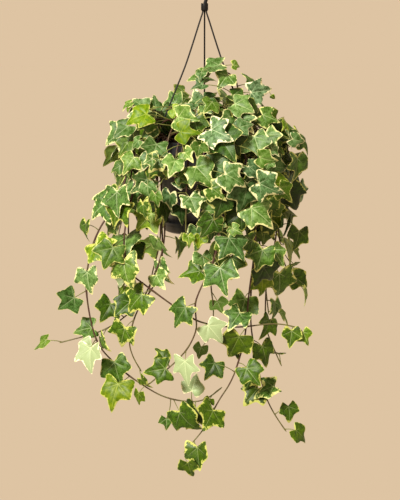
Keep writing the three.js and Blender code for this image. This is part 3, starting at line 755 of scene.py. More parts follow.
def vein_angles(form):
    """The main vein's angle for each column of the outline."""
    keys = FORMS[form]
    right = [key[3] for key in keys]
    angles = right + [-angle for angle in right[::-1]]
    return np.radians(np.repeat(angles, OUTLINE_STEPS[form]))


def edge_distance(points, outline):
    """Shortest distance from each point to the outline's straight steps, for each leaf."""
    start = outline[:, None]
    step = np.roll(outline, -1, axis=1)[:, None] - start
    offset = points[:, :, None] - start
    share = (offset * step).sum(-1) / np.maximum((step * step).sum(-1), 1e-12)
    near = offset - np.clip(share, 0, 1)[..., None] * step
    return np.sqrt((near * near).sum(-1)).min(axis=-1)


def blade_height(x, y, off, ring, turn, leaves, rng):
    """Height of the blade over its plane, in blade lengths: a soft fold along the midrib, a droop to
    the tip, pads between the veins, and waves that grow towards the margin."""
    def each(low, high):
        return rng.uniform(low, high, (len(x), 1, 1))

    fold = leaves["fold"][:, None, None]
    droop = leaves["droop"][:, None, None]
    height = fold * (np.hypot(x, FOLD_SOFT) - FOLD_SOFT) - droop * y * y
    height += PAD_HEIGHT * (1 - np.exp(-((off / PAD_WIDTH) ** 2))) * (1 - ring**3)
    for power, high, number in WAVES:
        wave = each(*high) * ring**power
        height += wave * np.sin(turn * np.round(each(*number)) + each(0, FULL_TURN))
    height -= each(*TIP_DROOP) * np.maximum(y, 0) ** 4
    height -= each(*CUP) * (x * x + (1 - CUP_TO_TIP) * y * y) * ring**2
    return height


# How far apart the patterns of two leaves are read, in millimetres for a tint of 1.
PATTERN_SPREAD = 97


def blades(form, leaves, thickness, rng):
    """Parts for the upper side and the underside of every leaf of one form. The grid runs along rays
    from the stalk's end to the outline, and both sides share the outline."""
    count = len(leaves["size"])
    outline = leaf_outlines(form, count, rng)
    columns = outline.shape[1]
    rings = np.append(RINGS[form], 1.0)
    plan = rings[None, :, None, None] * outline[:, None]
    x, y = plan[..., 0], plan[..., 1]
    angle = vein_angles(form)
    off = np.abs(x * np.cos(angle) - y * np.sin(angle))
    along = x * np.sin(angle) + y * np.cos(angle)
    turn = 2 * np.pi * np.arange(columns) / columns
    ring = rings[None, :, None]
    height = blade_height(x, y, off, ring, turn, leaves, rng)
    size = leaves["size"][:, None, None]
    edge = edge_distance(plan.reshape(count, -1, 2), outline).reshape(x.shape)
    centre_edge = edge_distance(np.zeros((count, 1, 2)), outline)
    half = thickness / 2

    def placed(x, y, level):
        """Blade lengths across and along, and millimetres up, as points in space."""
        point = leaves["base"][:, None] + (size[..., 0] * x)[..., None] * leaves["side"][:, None]
        point = point + (size[..., 0] * y)[..., None] * leaves["tip"][:, None]
        return point + level[..., None] * leaves["normal"][:, None]

    def flat(values):
        return values.reshape(count, -1)

    inner = (len(rings) - 1) * columns
    middle = np.full((count, 1), half)
    within, margin = np.split(flat(size * height), [inner], axis=1)
    level = np.concatenate([middle, within + half, margin, -middle, within - half], 1)

    def whole(values, centre):
        """Values on the grid, with the centre's, for the upper side and then the underside."""
        first = np.concatenate([np.broadcast_to(centre, (count, 1)), flat(values)], 1)
        return np.concatenate([first, first[:, :1 + inner]], 1)

    across, ahead = whole(x, 0.0), whole(y, 0.0)
    points = placed(across, ahead, level)
    millimetres = size[..., 0]
    tint, youth, cream, shade = (
        np.broadcast_to(leaves[key][:, None], across.shape) for key in ("tint", "youth", "cream", "shade")
    )
    layers = {
        "edge": whole(edge, centre_edge) * millimetres,
        "vein": np.stack([
            whole(along, 0.0) * millimetres, whole(off, 0.0) * millimetres, whole(ring + 0 * x, 0.0)
        ], -1),
        "place": np.stack([across * millimetres, ahead * millimetres, PATTERN_SPREAD * tint], -1),
        "look": np.stack([tint, youth, cream, shade], -1),
        "rim": whole(np.broadcast_to(ring == 1.0, x.shape).astype(float), 0.0),
    }
    total = points.shape[1]
    top_quads = grid_faces(len(rings), columns, True)
    top_quads = 1 + top_quads[:, [0, 3, 2, 1]]
    top_fan = fan_faces(0, 1 + np.arange(columns), True)
    under_pole = 1 + len(rings) * columns
    remap = np.concatenate([under_pole + 1 + np.arange(inner), 1 + inner + np.arange(columns)])
    under_quads = remap[grid_faces(len(rings), columns, True)]
    under_fan = fan_faces(under_pole, under_pole + 1 + np.arange(columns), False)
    shift = (total * np.arange(count))[:, None, None]
    layers = {key: values.reshape(count * total, -1) for key, values in layers.items()}
    faces = [(f + shift).reshape(-1, f.shape[1]) for f in (top_quads, top_fan, under_quads, under_fan)]
    return part(points.reshape(-1, 3), faces, [UPPER, UPPER, UNDER, UNDER], **layers)


STALK_STEPS = 7
STALK_SIDES = 6
STALK_TAPER = (1.2, 0.72)
STALK_FOOT = 1.25
STALK_GREEN = (0.35, 0.9)
# How the stalk meets the blade: how far under it, and how far past its notch in blade lengths.
STALK_UNDER = 0.35
STALK_PAST = 0.04
# The arch: how much it goes up, with the blade and at random, and its height over the stalk's length.
ARCH_WAY = (0.7, 0.5, 0.5)
ARCH_HEIGHT = (0.12, 0.3)


def stalks(leaves, radius, rng):
    """A thin arched tube for each leaf's stalk, from the stem to the notch: a quadratic Bezier curve
    whose middle is pushed up and outwards by a tenth to a third of its length."""
    t = np.linspace(0, 1, STALK_STEPS)[:, None]
    thin = radius * np.linspace(*STALK_TAPER, STALK_STEPS)
    thin[0] *= STALK_FOOT
    share = np.append(np.repeat(np.linspace(*STALK_GREEN, STALK_STEPS), STALK_SIDES), STALK_GREEN)
    parts = []
    for i, (root, base) in enumerate(zip(leaves["root"], leaves["base"])):
        normal, past = leaves["normal"][i], STALK_PAST * leaves["size"][i]
        base = base - STALK_UNDER * normal + past * leaves["tip"][i]
        run = base - root
        push = ARCH_WAY[0] * UP + ARCH_WAY[1] * normal + ARCH_WAY[2] * rng.standard_normal(3)
        push -= (push @ run) / (run @ run) * run
        middle = (root + base) / 2 + push * rng.uniform(*ARCH_HEIGHT) * np.linalg.norm(run)
        path = (1 - t) ** 2 * root + 2 * t * (1 - t) * middle + t**2 * base
        points, quads, caps = sweep(path, circle(1, STALK_SIDES), leaves["side"][i], thin)
        look = np.tile([leaves["tint"][i], 0.0, 0.0, leaves["shade"][i]], (len(points), 1))
        look[:, 1] = share
        parts.append(part(points, [quads, caps], BARK, look=look, place=points))
    return parts


STEM_SIDES = 8
STEM_FINE = 3
STEM_TAPER = 0.32
STEM_GREEN = 0.42
SWELL = 0.22
SWELL_STEPS = 1.2
BUD_STEPS = np.array([[2.2], [4.4]])
BUD_RADII = [0.8, 0.2]


def stem_tube(stem, radius):
    """The stem: a tube along a smooth curve through its points. It thins and greens to its tip,
    swells where each stalk leaves it, and ends in a small pointed bud."""
    path = smooth_path(np.vstack([stem["foot"], stem["points"]]), STEM_FINE)
    path = np.vstack([path, path[-1] + BUD_STEPS * unit(path[-1] - path[-2])])
    along = np.arange(len(path)) / (len(path) - 3)
    thin = radius * (1 - STEM_TAPER * np.minimum(along, 1) ** 2)
    node = (np.arange(len(path)) / STEM_FINE - 1 - stem["every"]) / stem["every"]
    near = np.abs(node - np.round(node)) * stem["every"] * STEM_FINE
    thin = thin * (1 + SWELL * np.exp(-(near / SWELL_STEPS) ** 2) * (node > -0.5))
    thin[-2:] = BUD_RADII
    surface, quads, caps = sweep(path, circle(1, STEM_SIDES), None, thin)
    share = np.append(np.repeat(np.minimum(along, 1) ** 4 * STEM_GREEN, STEM_SIDES), [0, STEM_GREEN])
    look = np.tile([draw(stem["seed"], 1, 20), 0.0, 0.0, 0.5], (len(surface), 1))
    look[:, 1] = share
    return part(surface, [quads, caps], BARK, look=look, place=surface)


# Younger leaves that fill the gaps, each kept clear of everything that is already there.

SEEN_SLOPE = math.tan(math.radians(8))
SPOKES = 16
SPOKE_RINGS = np.array([0.4, 0.75, 1.0])
BLADE_GAP = 1.0
THREAD_GAP = 1.9
THREAD_STEP = 4.0
POT_CLEAR = 2.0
STALK_SPAN = 75.0
NEAR_SHARE = 0.72
REACH_SPARE = 1.04
# Where a blade's middle is, in blade lengths, and the points that are tested along its stalk.
MIDDLE_SHARE = 0.35
STALK_SHARES = np.linspace(0.15, 1, 7)
# The pot's outer radius by height, with the clips at its rim.
POT_SHAPE = np.array([[-134, 64], [-115, 64], [-102, 56], [-45, 68], [-20, 77], [-19, 83], [2, 83]], float)
# The hanger's strands by azimuth, and their run as [distance from the axis, height].
STRANDS = {"strand_left": 210, "strand_right": 330, "strand_back": 90}
STRAND_RUN = np.array([
    [2.8, 187.5], [2.8, 181.5], [8.5, 166], [21.8, 130], [33, 102], [48, 70], [62, 40], [74, 16], [81.95, 2],
])


def lobe_reach(leaves, angle):
    """Length of the blade at an angle from its midrib, by straight runs between the form's corners."""
    reach = np.zeros(np.broadcast_shapes(leaves["size"][:, None].shape, angle.shape))
    for form, keys in FORMS.items():
        turn = np.radians([key[0] for key in keys[::-1]] + [180])
        length = [key[1] for key in keys[::-1]] + [NOTCH]
        here = np.array([form_of(size) == form for size in leaves["size"]])
        reach[here] = np.interp(np.abs(np.broadcast_to(angle, reach.shape)[here]), turn, length)
    return reach


def blade_level(leaves, x, y):
    """Height of the blade over its plane, in blade lengths, by its fold and droop alone."""
    return leaves["fold"][:, None] * np.abs(x) - leaves["droop"][:, None] * y * y


def spoke_points(leaves):
    """Sample points on each blade: rings of points along evenly spaced rays, and the centre."""
    angle = np.linspace(-np.pi, np.pi, SPOKES, endpoint=False)[None]
    reach = lobe_reach(leaves, angle)
    x = (SPOKE_RINGS[:, None] * (reach * np.sin(angle))[:, None]).reshape(len(reach), -1)
    y = (SPOKE_RINGS[:, None] * (reach * np.cos(angle))[:, None]).reshape(len(reach), -1)
    points = leaves["base"][:, None]
    for amount, way in ((x, "side"), (y, "tip"), (blade_level(leaves, x, y), "normal")):
        points = points + (amount * leaves["size"][:, None])[..., None] * leaves[way][:, None]
    return np.concatenate([leaves["base"][:, None], points], axis=1)


def shadow_gap(leaves, points):
    """For each leaf and point: whether the point lies over or under the blade, and how far."""
    offset = points - leaves["base"][:, None]
    size = leaves["size"][:, None]
    x, y, z = ((offset * leaves[way][:, None]).sum(-1) / size for way in ("side", "tip", "normal"))
    over = np.hypot(x, y) < REACH_SPARE * lobe_reach(leaves, np.arctan2(x, y))
    return over, (z - blade_level(leaves, x, y)) * size


def touched(over, gap, clear):
    """Whether any point is nearly on a blade."""
    return bool((over & (np.abs(gap) < clear)).any())


def crossed(over, gap):
    """Whether any row has points on both sides of a blade, or nearly on it."""
    both = (over & (gap > 0)).any(axis=1) & (over & (gap < 0)).any(axis=1)
    return touched(over, gap, BLADE_GAP) or bool(both.any())


def leaf_middle(leaves):
    """The middle of each blade, a third of the way to its tip."""
    return leaves["base"] + MIDDLE_SHARE * leaves["size"][:, None] * leaves["tip"]


def stalk_line(leaves):
    """Points of each leaf's stalk, as a straight line that starts clear of the stem."""
    share = STALK_SHARES[None, :, None]
    return leaves["root"][:, None] * (1 - share) + leaves["base"][:, None] * share


def strand_line(azimuth):
    """Points of a strand, from the collar to the clip."""
    return STRAND_RUN[:, :1] * outward(azimuth) + STRAND_RUN[:, 1:] * UP


def even_points(path, step):
    """Points along a path, one for each step of its length."""
    along = run_lengths(path)
    return points_at(path, along, np.arange(0, along[-1], step))


def inside_pot(points):
    """Whether any point is in the pot or too near it."""
    radius = np.hypot(points[:, 0], points[:, 1])
    return bool((radius < np.interp(points[:, 2], *POT_SHAPE.T, left=0, right=0) + POT_CLEAR).any())


def clear_of_all(leaf, spokes, grown, grown_spokes, threads, box, gaps=()):
    """Whether one new leaf crosses no blade, stalk, stem, strand or pot, and stays in the box and out
    of the gaps."""
    points = spokes[0]
    if (points < box[0]).any() or (points > box[1]).any() or inside_pot(points):
        return False
    across, back, up = points.T
    up = up + back * SEEN_SLOPE
    for (left, low), (right, high), behind, most in gaps:
        within = (across > left) & (across < right) & (up > low) & (up < high) & (back < behind)
        if within.mean() > most:
            return False
    apart = np.linalg.norm(leaf_middle(grown) - leaf_middle(leaf), axis=1)
    near = apart < NEAR_SHARE * (grown["size"] + leaf["size"]) + 2
    if near.any():
        if crossed(*shadow_gap(chosen(grown, near), points[None])):
            return False
        over, gap = shadow_gap(leaf, grown_spokes[near].reshape(1, -1, 3))
        if crossed(over.reshape(near.sum(), -1), gap.reshape(near.sum(), -1)):
            return False
    wide = np.linalg.norm(grown["base"] - leaf["base"], axis=1) < STALK_SPAN
    if wide.any() and touched(*shadow_gap(chosen(grown, wide), stalk_line(leaf)), THREAD_GAP):
        return False
    beside = threads[np.linalg.norm(threads - leaf_middle(leaf), axis=1) < leaf["size"][0]]
    return not touched(*shadow_gap(leaf, beside[None]), THREAD_GAP)


# Rounds of younger leaves: where they sit on the way from one main leaf to the next, their size,
# how often a trailing stem has one at its root, and how far back they grow at least.
INFILL_ROUNDS = [
    (0.5, 1.3, 0.42, -200), (0.25, 1.1, 0.14, -200), (0.75, 1.0, 0.14, -200), (0.02, 0.9, 0.05, -200),
    (0.12, 1.2, 0.45, 10), (0.62, 1.2, 0.45, 10), (0.37, 1.2, 0.45, 10), (0.87, 1.1, 0.45, 10),
]
INFILL_TRIES = 12
# A trailing stem has fewer of them further down, and fewer still at the lower left.
TRAIL_MORE = 1.4
TRAIL_FADE = 180
LOWER_LEFT = (-50, -90)
LOWER_LEFT_SHARE = 0.4
YOUNG_LOOSE = 1.9
YOUNG_LEVEL = 1.1
BOX_SPARE = 0.012
SPREAD_BELOW = 30
SPREAD_STEPS = [1.45, 1.35, 1.25, 1.15, 1.08]
# Where no younger leaf grows, as the camera sees it: [right, up] corners of three gaps that show the
# pot's left front, two that show the left strand, and five that are open round the crown. Each has
# how far back a leaf still hides what shows there, and how much of it may.
GAPS = [
    ((-60, -138), (-11, -96), 0, 0.02), ((-54, -96), (-39, -64), 0, 0.02),
    ((-61, -29), (-37, -6), -30, 0.02), ((-50, 46), (-26, 110), -15, 0.02),
    ((-66, 14), (-50, 46), -25, 0.02), ((-64, 54), (-8, 130), 100, 0.25),
    ((2, 58), (130, 122), 150, 0.15), ((72, 32), (139, 60), 150, 0.3),
    ((-105, 60), (-64, 130), 150, 0.1), ((139, -40), (165, 40), 150, 0.3),
]


def plant_box():
    """The frame's box in millimetres from the rim, a little wider all round."""
    low, high = (np.array(corner) for corner in CAD_BOX)
    spare = BOX_SPARE * (high - low)
    return (low - spare - [0, 0, RIM_TOP]) / MM, (high + spare - [0, 0, RIM_TOP]) / MM


def stem_threads(stems):
    """Even points along every stem and every strand of the hanger."""
    threads = [even_points(smooth_path(stem["points"], 4), THREAD_STEP) for stem in stems]
    threads += [even_points(strand_line(azimuth), THREAD_STEP) for azimuth in STRANDS.values()]
    return np.vstack(threads)


def spread(stems, own):
    """The smaller leaves of the frame's nodes, each grown on by the largest step that is clear."""
    box, threads = plant_box(), stem_threads(stems)
    everything = joined(own)
    for i in np.flatnonzero(everything["size"] < SPREAD_BELOW):
        others = chosen(everything, np.arange(len(everything["size"])) != i)
        spokes = spoke_points(others)
        beside = np.vstack([threads, stalk_line(others).reshape(-1, 3)])
        for step in SPREAD_STEPS:
            leaf = chosen(everything, [i])
            leaf["size"] = step * leaf["size"]
            if clear_of_all(leaf, spoke_points(leaf), others, spokes, beside, box, GAPS):
                everything["size"][i] = leaf["size"][0]
                break
    return parted(everything, [len(leaves["size"]) for leaves in own])


# Single leaves that show one by one at the outline, and a few in front of the pot. The stalk's end
# is [right, back] and how high it is seen, in millimetres. The tip points at an angle from straight
# down, to the right. The blade is turned to the right and lifted to the sky by two more angles. Last
# come its length and how bright it is, which paints its light and shade as well as its own tone.
LONE_LEAVES = [
    (-105, -40, -152, -22, 10, 10, 36, 0.2), (140, -15, -128, -15, 20, 15, 28, 0.3),
    (138, -26, -36, -3, 50, 5, 34, 0.45), (124, -24, 0, 176, 50, 10, 27, 0.4),
    (130, -14, -199, 55, 15, 10, 27, 0.45), (121, -94, -274, -8, 15, 10, 25, 0.5),
    (67, -50, -340, -20, 0, 15, 26, 0.25), (90, -48, -362, -68, -10, 50, 32, 0.5),
    (121, -44, -388, 5, 20, 15, 24, 0.35), (-12, -78, -388, -25, 5, 15, 32, 0.15),
    (-10, -72, -444, 12, -35, 10, 34, 0.35), (-55, -68, -403, 3, 15, 10, 18, 0.6),
    (-128, -66, -321, 15, -10, 10, 36, 0.5), (-161, -54, -298, -40, -15, 15, 28, 1.6),
    (-162, -46, -273, -80, 0, 30, 28, 0.6), (-134, -46, -238, -30, 10, 20, 30, 0.3),
    (-116, -38, -192, 40, -10, 10, 29, 1.6), (-55, -108, -327, -80, 5, 15, 31, 0.4),
    (-57, -104, -313, -150, 10, 25, 21, 0.3), (-31, -120, -245, 12, 15, 10, 31, 0.15),
    (-18, -76, -361, 165, 0, 10, 26, 1.5), (26, -44, 96, -78, -10, 62, 34, 0.7),
    (4, -44, 84, -62, 10, 60, 30, 0.7), (66, -44, 74, -160, 60, 20, 22, 0.5),
    (44, -46, 62, 62, 10, 55, 27, 0.3), (-38, -104, -64, 68, 10, 45, 26, 0.8),
    (-20, -104, -88, 15, 0, 45, 29, 0.9), (-58, -92, -92, 30, 52, 10, 38, 0.2),
    (-52, -96, -78, -5, -35, 10, 25, 0.3), (-34, -100, -100, 5, 20, 25, 25, 0.15),
    (-86, -62, -32, -15, -10, 25, 36, 0.95), (-66, -96, -14, -20, 15, 30, 30, 0.6),
    (-62, -6, 38, 25, 10, 20, 32, 0.35), (-72, -14, 24, -40, -25, 35, 28, 0.5),
    (-52, -2, 22, 60, 30, 30, 30, 0.2), (-60, -20, 8, -10, -10, 15, 28, 0.15),
    (-44, -22, 6, 35, 25, 10, 26, 0.3), (-76, -30, 4, -60, -30, 40, 26, 0.4),
    (-50, 22, 46, -150, -20, 25, 26, 0.6), (-66, 24, 50, 170, 25, 20, 24, 0.5),
    (-8, -90, -134, -8, -10, 15, 30, 0.5), (-8, -82, -163, 10, 10, 20, 23, 0.95),
    (-6, -86, -190, -80, 0, 40, 32, 0.6), (-36, -76, -146, 15, 60, 10, 28, 0.8),
    (80, -90, -160, -15, 5, 15, 32, 0.6), (36, -100, -170, 0, 5, 20, 32, 0.3),
    (34, -105, -125, 0, -20, 30, 32, 1.0), (-166, -48, -192, 10, -30, 10, 32, 0.9),
    (14, -70, -322, -30, 10, 20, 28, 0.2), (44, -75, -296, 10, 0, 30, 22, 0.3),
    (100, -50, -235, 5, 60, 10, 28, 0.5), (-168, -44, -122, -5, -60, 10, 26, 0.4),
]
# Small moves to the right, back and up, in the order they are tried.
LONE_MOVES = np.array([
    [0, 0, 0], [0, -8, 0], [0, 8, 0], [6, -4, 4], [-6, -4, 4], [5, -12, -5], [-5, -12, -5], [0, -18, 0],
    [0, 18, 0], [8, -20, 6], [-8, -20, 6], [0, -28, 0], [0, 28, 0],
])
LONGEST_STALK = 48
LONE_FOLD = 0.22
LONE_DROOP = 0.2


def lone_leaves(stems, own):
    """The single leaves, each on the stem that comes nearest to its stalk's end, at the first small
    move where it is clear. One that is clear nowhere is left out."""
    box, threads = plant_box(), stem_threads(stems)
    paths = [smooth_path(stem["points"], 4) for stem in stems]
    groups = [[leaves] for leaves in own]
    everything = joined(own)
    for number, (*place, points_to, turned, lifted, size, bright) in enumerate(LONE_LEAVES):
        points_to, turned, lifted = np.radians([points_to, turned, lifted])
        front = -math.cos(turned) * math.cos(lifted)
        normal = unit(np.array([math.sin(turned), front, math.sin(lifted)]))
        tip = np.array([math.sin(points_to), 0.0, -math.cos(points_to)])
        tip = unit(tip - (tip @ normal) * normal)
        for right, back, up in LONE_MOVES + place:
            base = np.array([right, back, up - back * SEEN_SLOPE])
            apart = [np.linalg.norm(path - base, axis=1) for path in paths]
            parent = int(np.argmin([distances.min() for distances in apart]))
            root = paths[parent][apart[parent].argmin()]
            if apart[parent].min() > LONGEST_STALK:
                continue
            leaf = {
                "root": root, "base": base, "tip": tip, "side": np.cross(tip, normal), "normal": normal,
                "size": size, "fold": LONE_FOLD, "droop": LONE_DROOP, "order": -1.0 - number,
                "bright": bright,
            }
            leaf = {key: np.array([value], float) for key, value in leaf.items()}
            if clear_of_all(leaf, spoke_points(leaf), everything, spoke_points(everything), threads, box):
                everything = joined([everything, leaf])
                threads = np.vstack([threads, stalk_line(leaf)[0]])
                groups[parent].append(leaf)
                break
    return [joined(group) for group in groups]


SHOOT_STEPS = 9
SHOOT_SHARE = 0.34
# The lowest place where a shoot leaves its stem, and the lowest to the left of a line.
SHOOT_FLOOR = -160
SHOOT_FLOOR_LEFT = -120
SHOOT_LEFT = -50
# A shoot's length and its leaves' size: the least, and how much a draw adds.
SHOOT_LENGTH = (38, 62)
SHOOT_LEAF = (14, 12)
SHOOT_STALK = 12.0
SHOOT_TURNS = np.array([0.3, -0.7, 1.2, -1.6, 2.2, -2.6])
SHOOT_FORWARD = 0.3
SHOOT_AHEAD = 0.4
SHOOT_BEND = 0.8
SHOOT_SAG = 0.45
SHOOT_CLEAR = 3.0
SHOOT_SPARE = 4
SHOOT_ROUNDS = 1
SHOOT_THIN = 0.6


def side_shoots(stems, own):
    """Thin side shoots of the trailing stems. Each is a stem of its own kind: its path is a straight
    run that leaves the parent ahead and outwards, and bends sideways and down as a square of its
    length. It takes the first turn about the parent that is clear."""
    (low, high), threads = plant_box(), stem_threads(stems)
    everything = joined(own)
    shoots = []
    t = np.linspace(0, 1, SHOOT_STEPS)[:, None]
    places = [(i, stem, k) for i, stem in enumerate(stems) for k in range(1, stem["leaves"] - 1)]
    for number, stem, k in places:
        chance = [draw(stem["seed"], k, purpose) for purpose in range(21, 26)]
        if stem["every"] == 2 or chance[0] > SHOOT_SHARE:
            continue
        at = stem["every"] * (1 + k) + 1
        root = stem["points"][at]
        if root[2] < (SHOOT_FLOOR if root[0] > SHOOT_LEFT else SHOOT_FLOOR_LEFT):
            continue
        ahead = unit(stem["points"][at + 1] - root)
        level = root * [1, 1, 0]
        out = unit(level - ahead * (ahead @ level) + SHOOT_FORWARD * FRONT)
        side = np.cross(ahead, out)
        length = SHOOT_LENGTH[0] + SHOOT_LENGTH[1] * chance[1]
        bend = SHOOT_BEND * (chance[4] - 0.5) * side - SHOOT_SAG * UP
        for turn in SHOOT_TURNS + chance[2]:
            way = (SHOOT_AHEAD + chance[3]) * ahead + math.cos(turn) * out + math.sin(turn) * side
            path = root + length * (t * unit(way) + t * t * bend)
            outside = (path < low + SHOOT_SPARE).any() or (path > high - SHOOT_SPARE).any()
            near = np.linalg.norm(threads[:, None] - path[3:], axis=-1).min() < SHOOT_CLEAR
            if outside or near or inside_pot(path):
                continue
            if touched(*shadow_gap(everything, path[None, 1:]), THREAD_GAP):
                continue
            shoots.append({
                "name": stem["name"], "parent": number, "seed": 100 + len(shoots), "every": 2,
                "points": path, "size": SHOOT_LEAF[0] + SHOOT_LEAF[1] * chance[2],
                "leaves": SHOOT_STEPS // 2, "kind": "pale" if chance[3] > 0.5 else "young",
                "forward": 1.0, "stalk": SHOOT_STALK, "foot": root,
            })
            threads = np.vstack([threads, even_points(path, THREAD_STEP)])
            break
    return shoots


def infill_places(stems):
    """Where a younger leaf may grow, round by round and stem by stem: the stem's number, the leaf's
    place among the main ones, its root, and its size."""
    for turn, (share, size, trail_share, behind) in enumerate(INFILL_ROUNDS):
        for number, stem in enumerate(stems):
            if "parent" in stem and turn >= SHOOT_ROUNDS:
                continue
            steps = np.arange(len(stem["points"]))
            for k in range(stem["leaves"] - 1):
                order = np.array([k + share])
                root = points_at(stem["points"], steps, stem["every"] * (1 + order))
                right, back, up = root[0]
                fewer = trail_share * (TRAIL_MORE + up / TRAIL_FADE)
                if right < LOWER_LEFT[0] and up < LOWER_LEFT[1]:
                    fewer = LOWER_LEFT_SHARE * fewer
                trailing = stem["every"] > 2
                if back >= behind and not (trailing and draw(stem["seed"], order[0], 16) > fewer):
                    yield number, order, root, size


def infill(stems, grown, factor):
    """Adds leaves between the main ones. Each is placed by the plant's own rule, and takes the first
    way to turn, reach and shrink that is clear."""
    box = plant_box()
    everything = joined(grown)
    threads = np.vstack([stem_threads(stems), stalk_line(everything).reshape(-1, 3)])
    spokes = spoke_points(everything)
    extra = [[] for _ in stems]
    for number, order, root, smaller in infill_places(stems):
        for twist, reach, shrink in TRIES[:INFILL_TRIES]:
            ways = [twist, reach, shrink * factor * smaller]
            leaf = leaf_choices(stems[number], order, root, *ways, YOUNG_LOOSE, YOUNG_LEVEL)
            points = spoke_points(leaf)
            if clear_of_all(leaf, points, everything, spokes, threads, box, GAPS):
                everything = joined([everything, leaf])
                spokes = np.concatenate([spokes, points])
                threads = np.vstack([threads, stalk_line(leaf)[0]])
                extra[number].append(leaf)
                break
    return [joined([own, *more]) for own, more in zip(grown, extra)]


# The crown as a ball: its middle, how far its outer leaves are to the right, back and up, and the
# shell of it, as shares of that, over which leaves go from dark to bright. The dark inside is painted
# shade of the crown's hollows, on the darker green of its older leaves.
CROWN_MIDDLE = np.array([0.0, -10.0, -45.0])
CROWN_REACH = np.array([125.0, 120.0, 105.0])
CROWN_SHELL = (0.72, 0.97)
CROWN_PAINTED_SHADE = 0.3
# How young each kind of stem's leaves look, and how wide their margins are.
KIND_YOUTH = {"mature": 0.0, "pale": 0.12, "young": 0.3}
KIND_CREAM = {"mature": 1.0, "pale": 1.45, "young": 0.8}
TIP_YOUTH = 0.55
YOUNG_FROM = 0.9
YOUTH_VARIES = 0.2
# What each leaf draws: the least, and how much more it may be.
TRAIL_TINT = (0.0, 0.45)
CROWN_TINT = (0.3, 0.7)
CREAM_WIDTH = (0.35, 1.1)
SHADE = (0.4, 0.7)
SHADE_MOST = 1.1
FULL_LEAF = 34
CREAM_GROWN = (0.4, 1.1)
# Painted shade of the key light: each blade between a leaf and the light darkens the leaf's colour.
KEY_LIGHT_WAY = np.array([-0.40, -0.66, 0.64])
COVER_START = 3.0
COVER_REACH = 75.0
COVER_WIDTH = 0.42
COVER_PAINTED_SHADE = 0.4
COVER_MOST = 3
# Leaves below the pot get darker over a run, and those of the left side get a little painted light,
# as the key light comes from the left.
LOW_START = -200
LOW_RUN = 110
LOW_DARKER = 0.5
LEFT_RUN = 100
LEFT_BELOW = -60
LEFT_PAINTED_LIGHT = 0.15
YOUNG_DARKER = 0.45
# The single leaves' youth, and the few thin leaves far down that are pale and take painted light
# for the light that comes through them.
SINGLE_YOUTH = 0.12
THIN_FROM = 0.92
THIN_BELOW = -170
THIN_PALE_LIT = 1.6
PALE_LIT = 1.2
PALE_LIT_TINT = 0.65
PALE_LIT_YOUTH = 0.1
PALE_LIT_CREAM = 0.5


def add_cover(groups):
    """The groups of leaves with how many blades lie over each leaf on the way to the key light, which
    sets its painted shade. One does if its middle is near the straight line from this leaf's middle to
    the light."""
    everything = joined(groups)
    middle = leaf_middle(everything)
    apart = middle[None] - middle[:, None]
    ahead = apart @ KEY_LIGHT_WAY
    aside = np.sqrt(np.maximum((apart**2).sum(-1) - ahead**2, 0))
    over = (ahead > COVER_START) & (ahead < COVER_REACH) & (aside < COVER_WIDTH * everything["size"])
    everything["covered"] = over.sum(axis=1)
    return parted(everything, [len(leaves["size"]) for leaves in groups])


def add_looks(stem, leaves, cream):
    """What the materials read of each leaf: its own tint, how young it is, the width of its cream
    margin in millimetres, and how bright it is, which holds painted light and shade as well as its
    own tone."""
    def chance(purpose):
        return draw(stem["seed"], leaves["order"], purpose)

    def drawn(limits, purpose, power=1.0):
        return limits[0] + limits[1] * chance(purpose) ** power

    across, _, up = leaves["base"].T
    fresh = 1 - leaf_age(stem, leaves["order"]) + (chance(12) > YOUNG_FROM)
    youth = KIND_YOUTH[stem["kind"]] + TIP_YOUTH * fresh + YOUTH_VARIES * (chance(13) - 0.5)
    youth = np.clip(youth, 0, 1)
    tint = drawn(TRAIL_TINT if stem["every"] > 2 else CROWN_TINT, 11)
    grown = np.clip(leaves["size"] / FULL_LEAF, *CREAM_GROWN)
    cream = cream * KIND_CREAM[stem["kind"]] * grown * drawn(CREAM_WIDTH, 14, 1.5)

    # Painted shade deep in the crown and from the blades towards the key light; painted light on the left
    # side and through the few thin leaves. Leaves below the pot are darker too.
    middle = np.linalg.norm((leaf_middle(leaves) - CROWN_MIDDLE) / CROWN_REACH, axis=1)
    crown_shade = np.interp(middle, CROWN_SHELL, [CROWN_PAINTED_SHADE, 1.0])
    low = np.clip((LOW_START - up) / LOW_RUN, 0, 1)
    paler = LEFT_PAINTED_LIGHT * np.clip(-across / LEFT_RUN, 0, 1) * (up < LEFT_BELOW)
    shade = drawn(SHADE, 15) * crown_shade * (1 - LOW_DARKER * low + paler)
    shade = shade * COVER_PAINTED_SHADE ** np.minimum(leaves["covered"], COVER_MOST)
    shade = np.minimum(shade, SHADE_MOST) * (1 - YOUNG_DARKER * youth)
    shade = np.where((chance(17) > THIN_FROM) & (up < THIN_BELOW), THIN_PALE_LIT, shade)

    single = ~np.isnan(leaves["bright"])
    shade = np.where(single, leaves["bright"], shade)
    youth = np.where(single, SINGLE_YOUTH, youth)
    pale_lit = shade > PALE_LIT
    leaves["shade"] = shade
    leaves["tint"] = np.where(pale_lit, PALE_LIT_TINT, tint)
    leaves["youth"] = np.where(pale_lit, PALE_LIT_YOUTH, youth)
    leaves["cream"] = np.where(pale_lit, PALE_LIT_CREAM * cream, cream)
    return leaves


# Materials. A list of inputs is in the node's own order: for a map range, the value, the two values
# it runs between and what it gives there, and for a mix, the share and the two colours.

VEIN_GREY = "#adbf9b"
VEIN_LIME = "#cbd789"
VEIN_UNDER = "#c4ce9b"
WATER_MARKS = "#6f6a63"
PEAT_FIBRE = "#3f2f21"
PERLITE = "#d9d4c8"
# The leaf's patterns and the bark's, in millimetres.
PATCH = 6.5
PORE = 0.9
BARK_PATCH = 9.0
BARK_GRAIN = 0.8
ALL = slice(None)


def rgba(colour):
    """A colour with its alpha, which is 1."""
    return (*colour, 1.0)


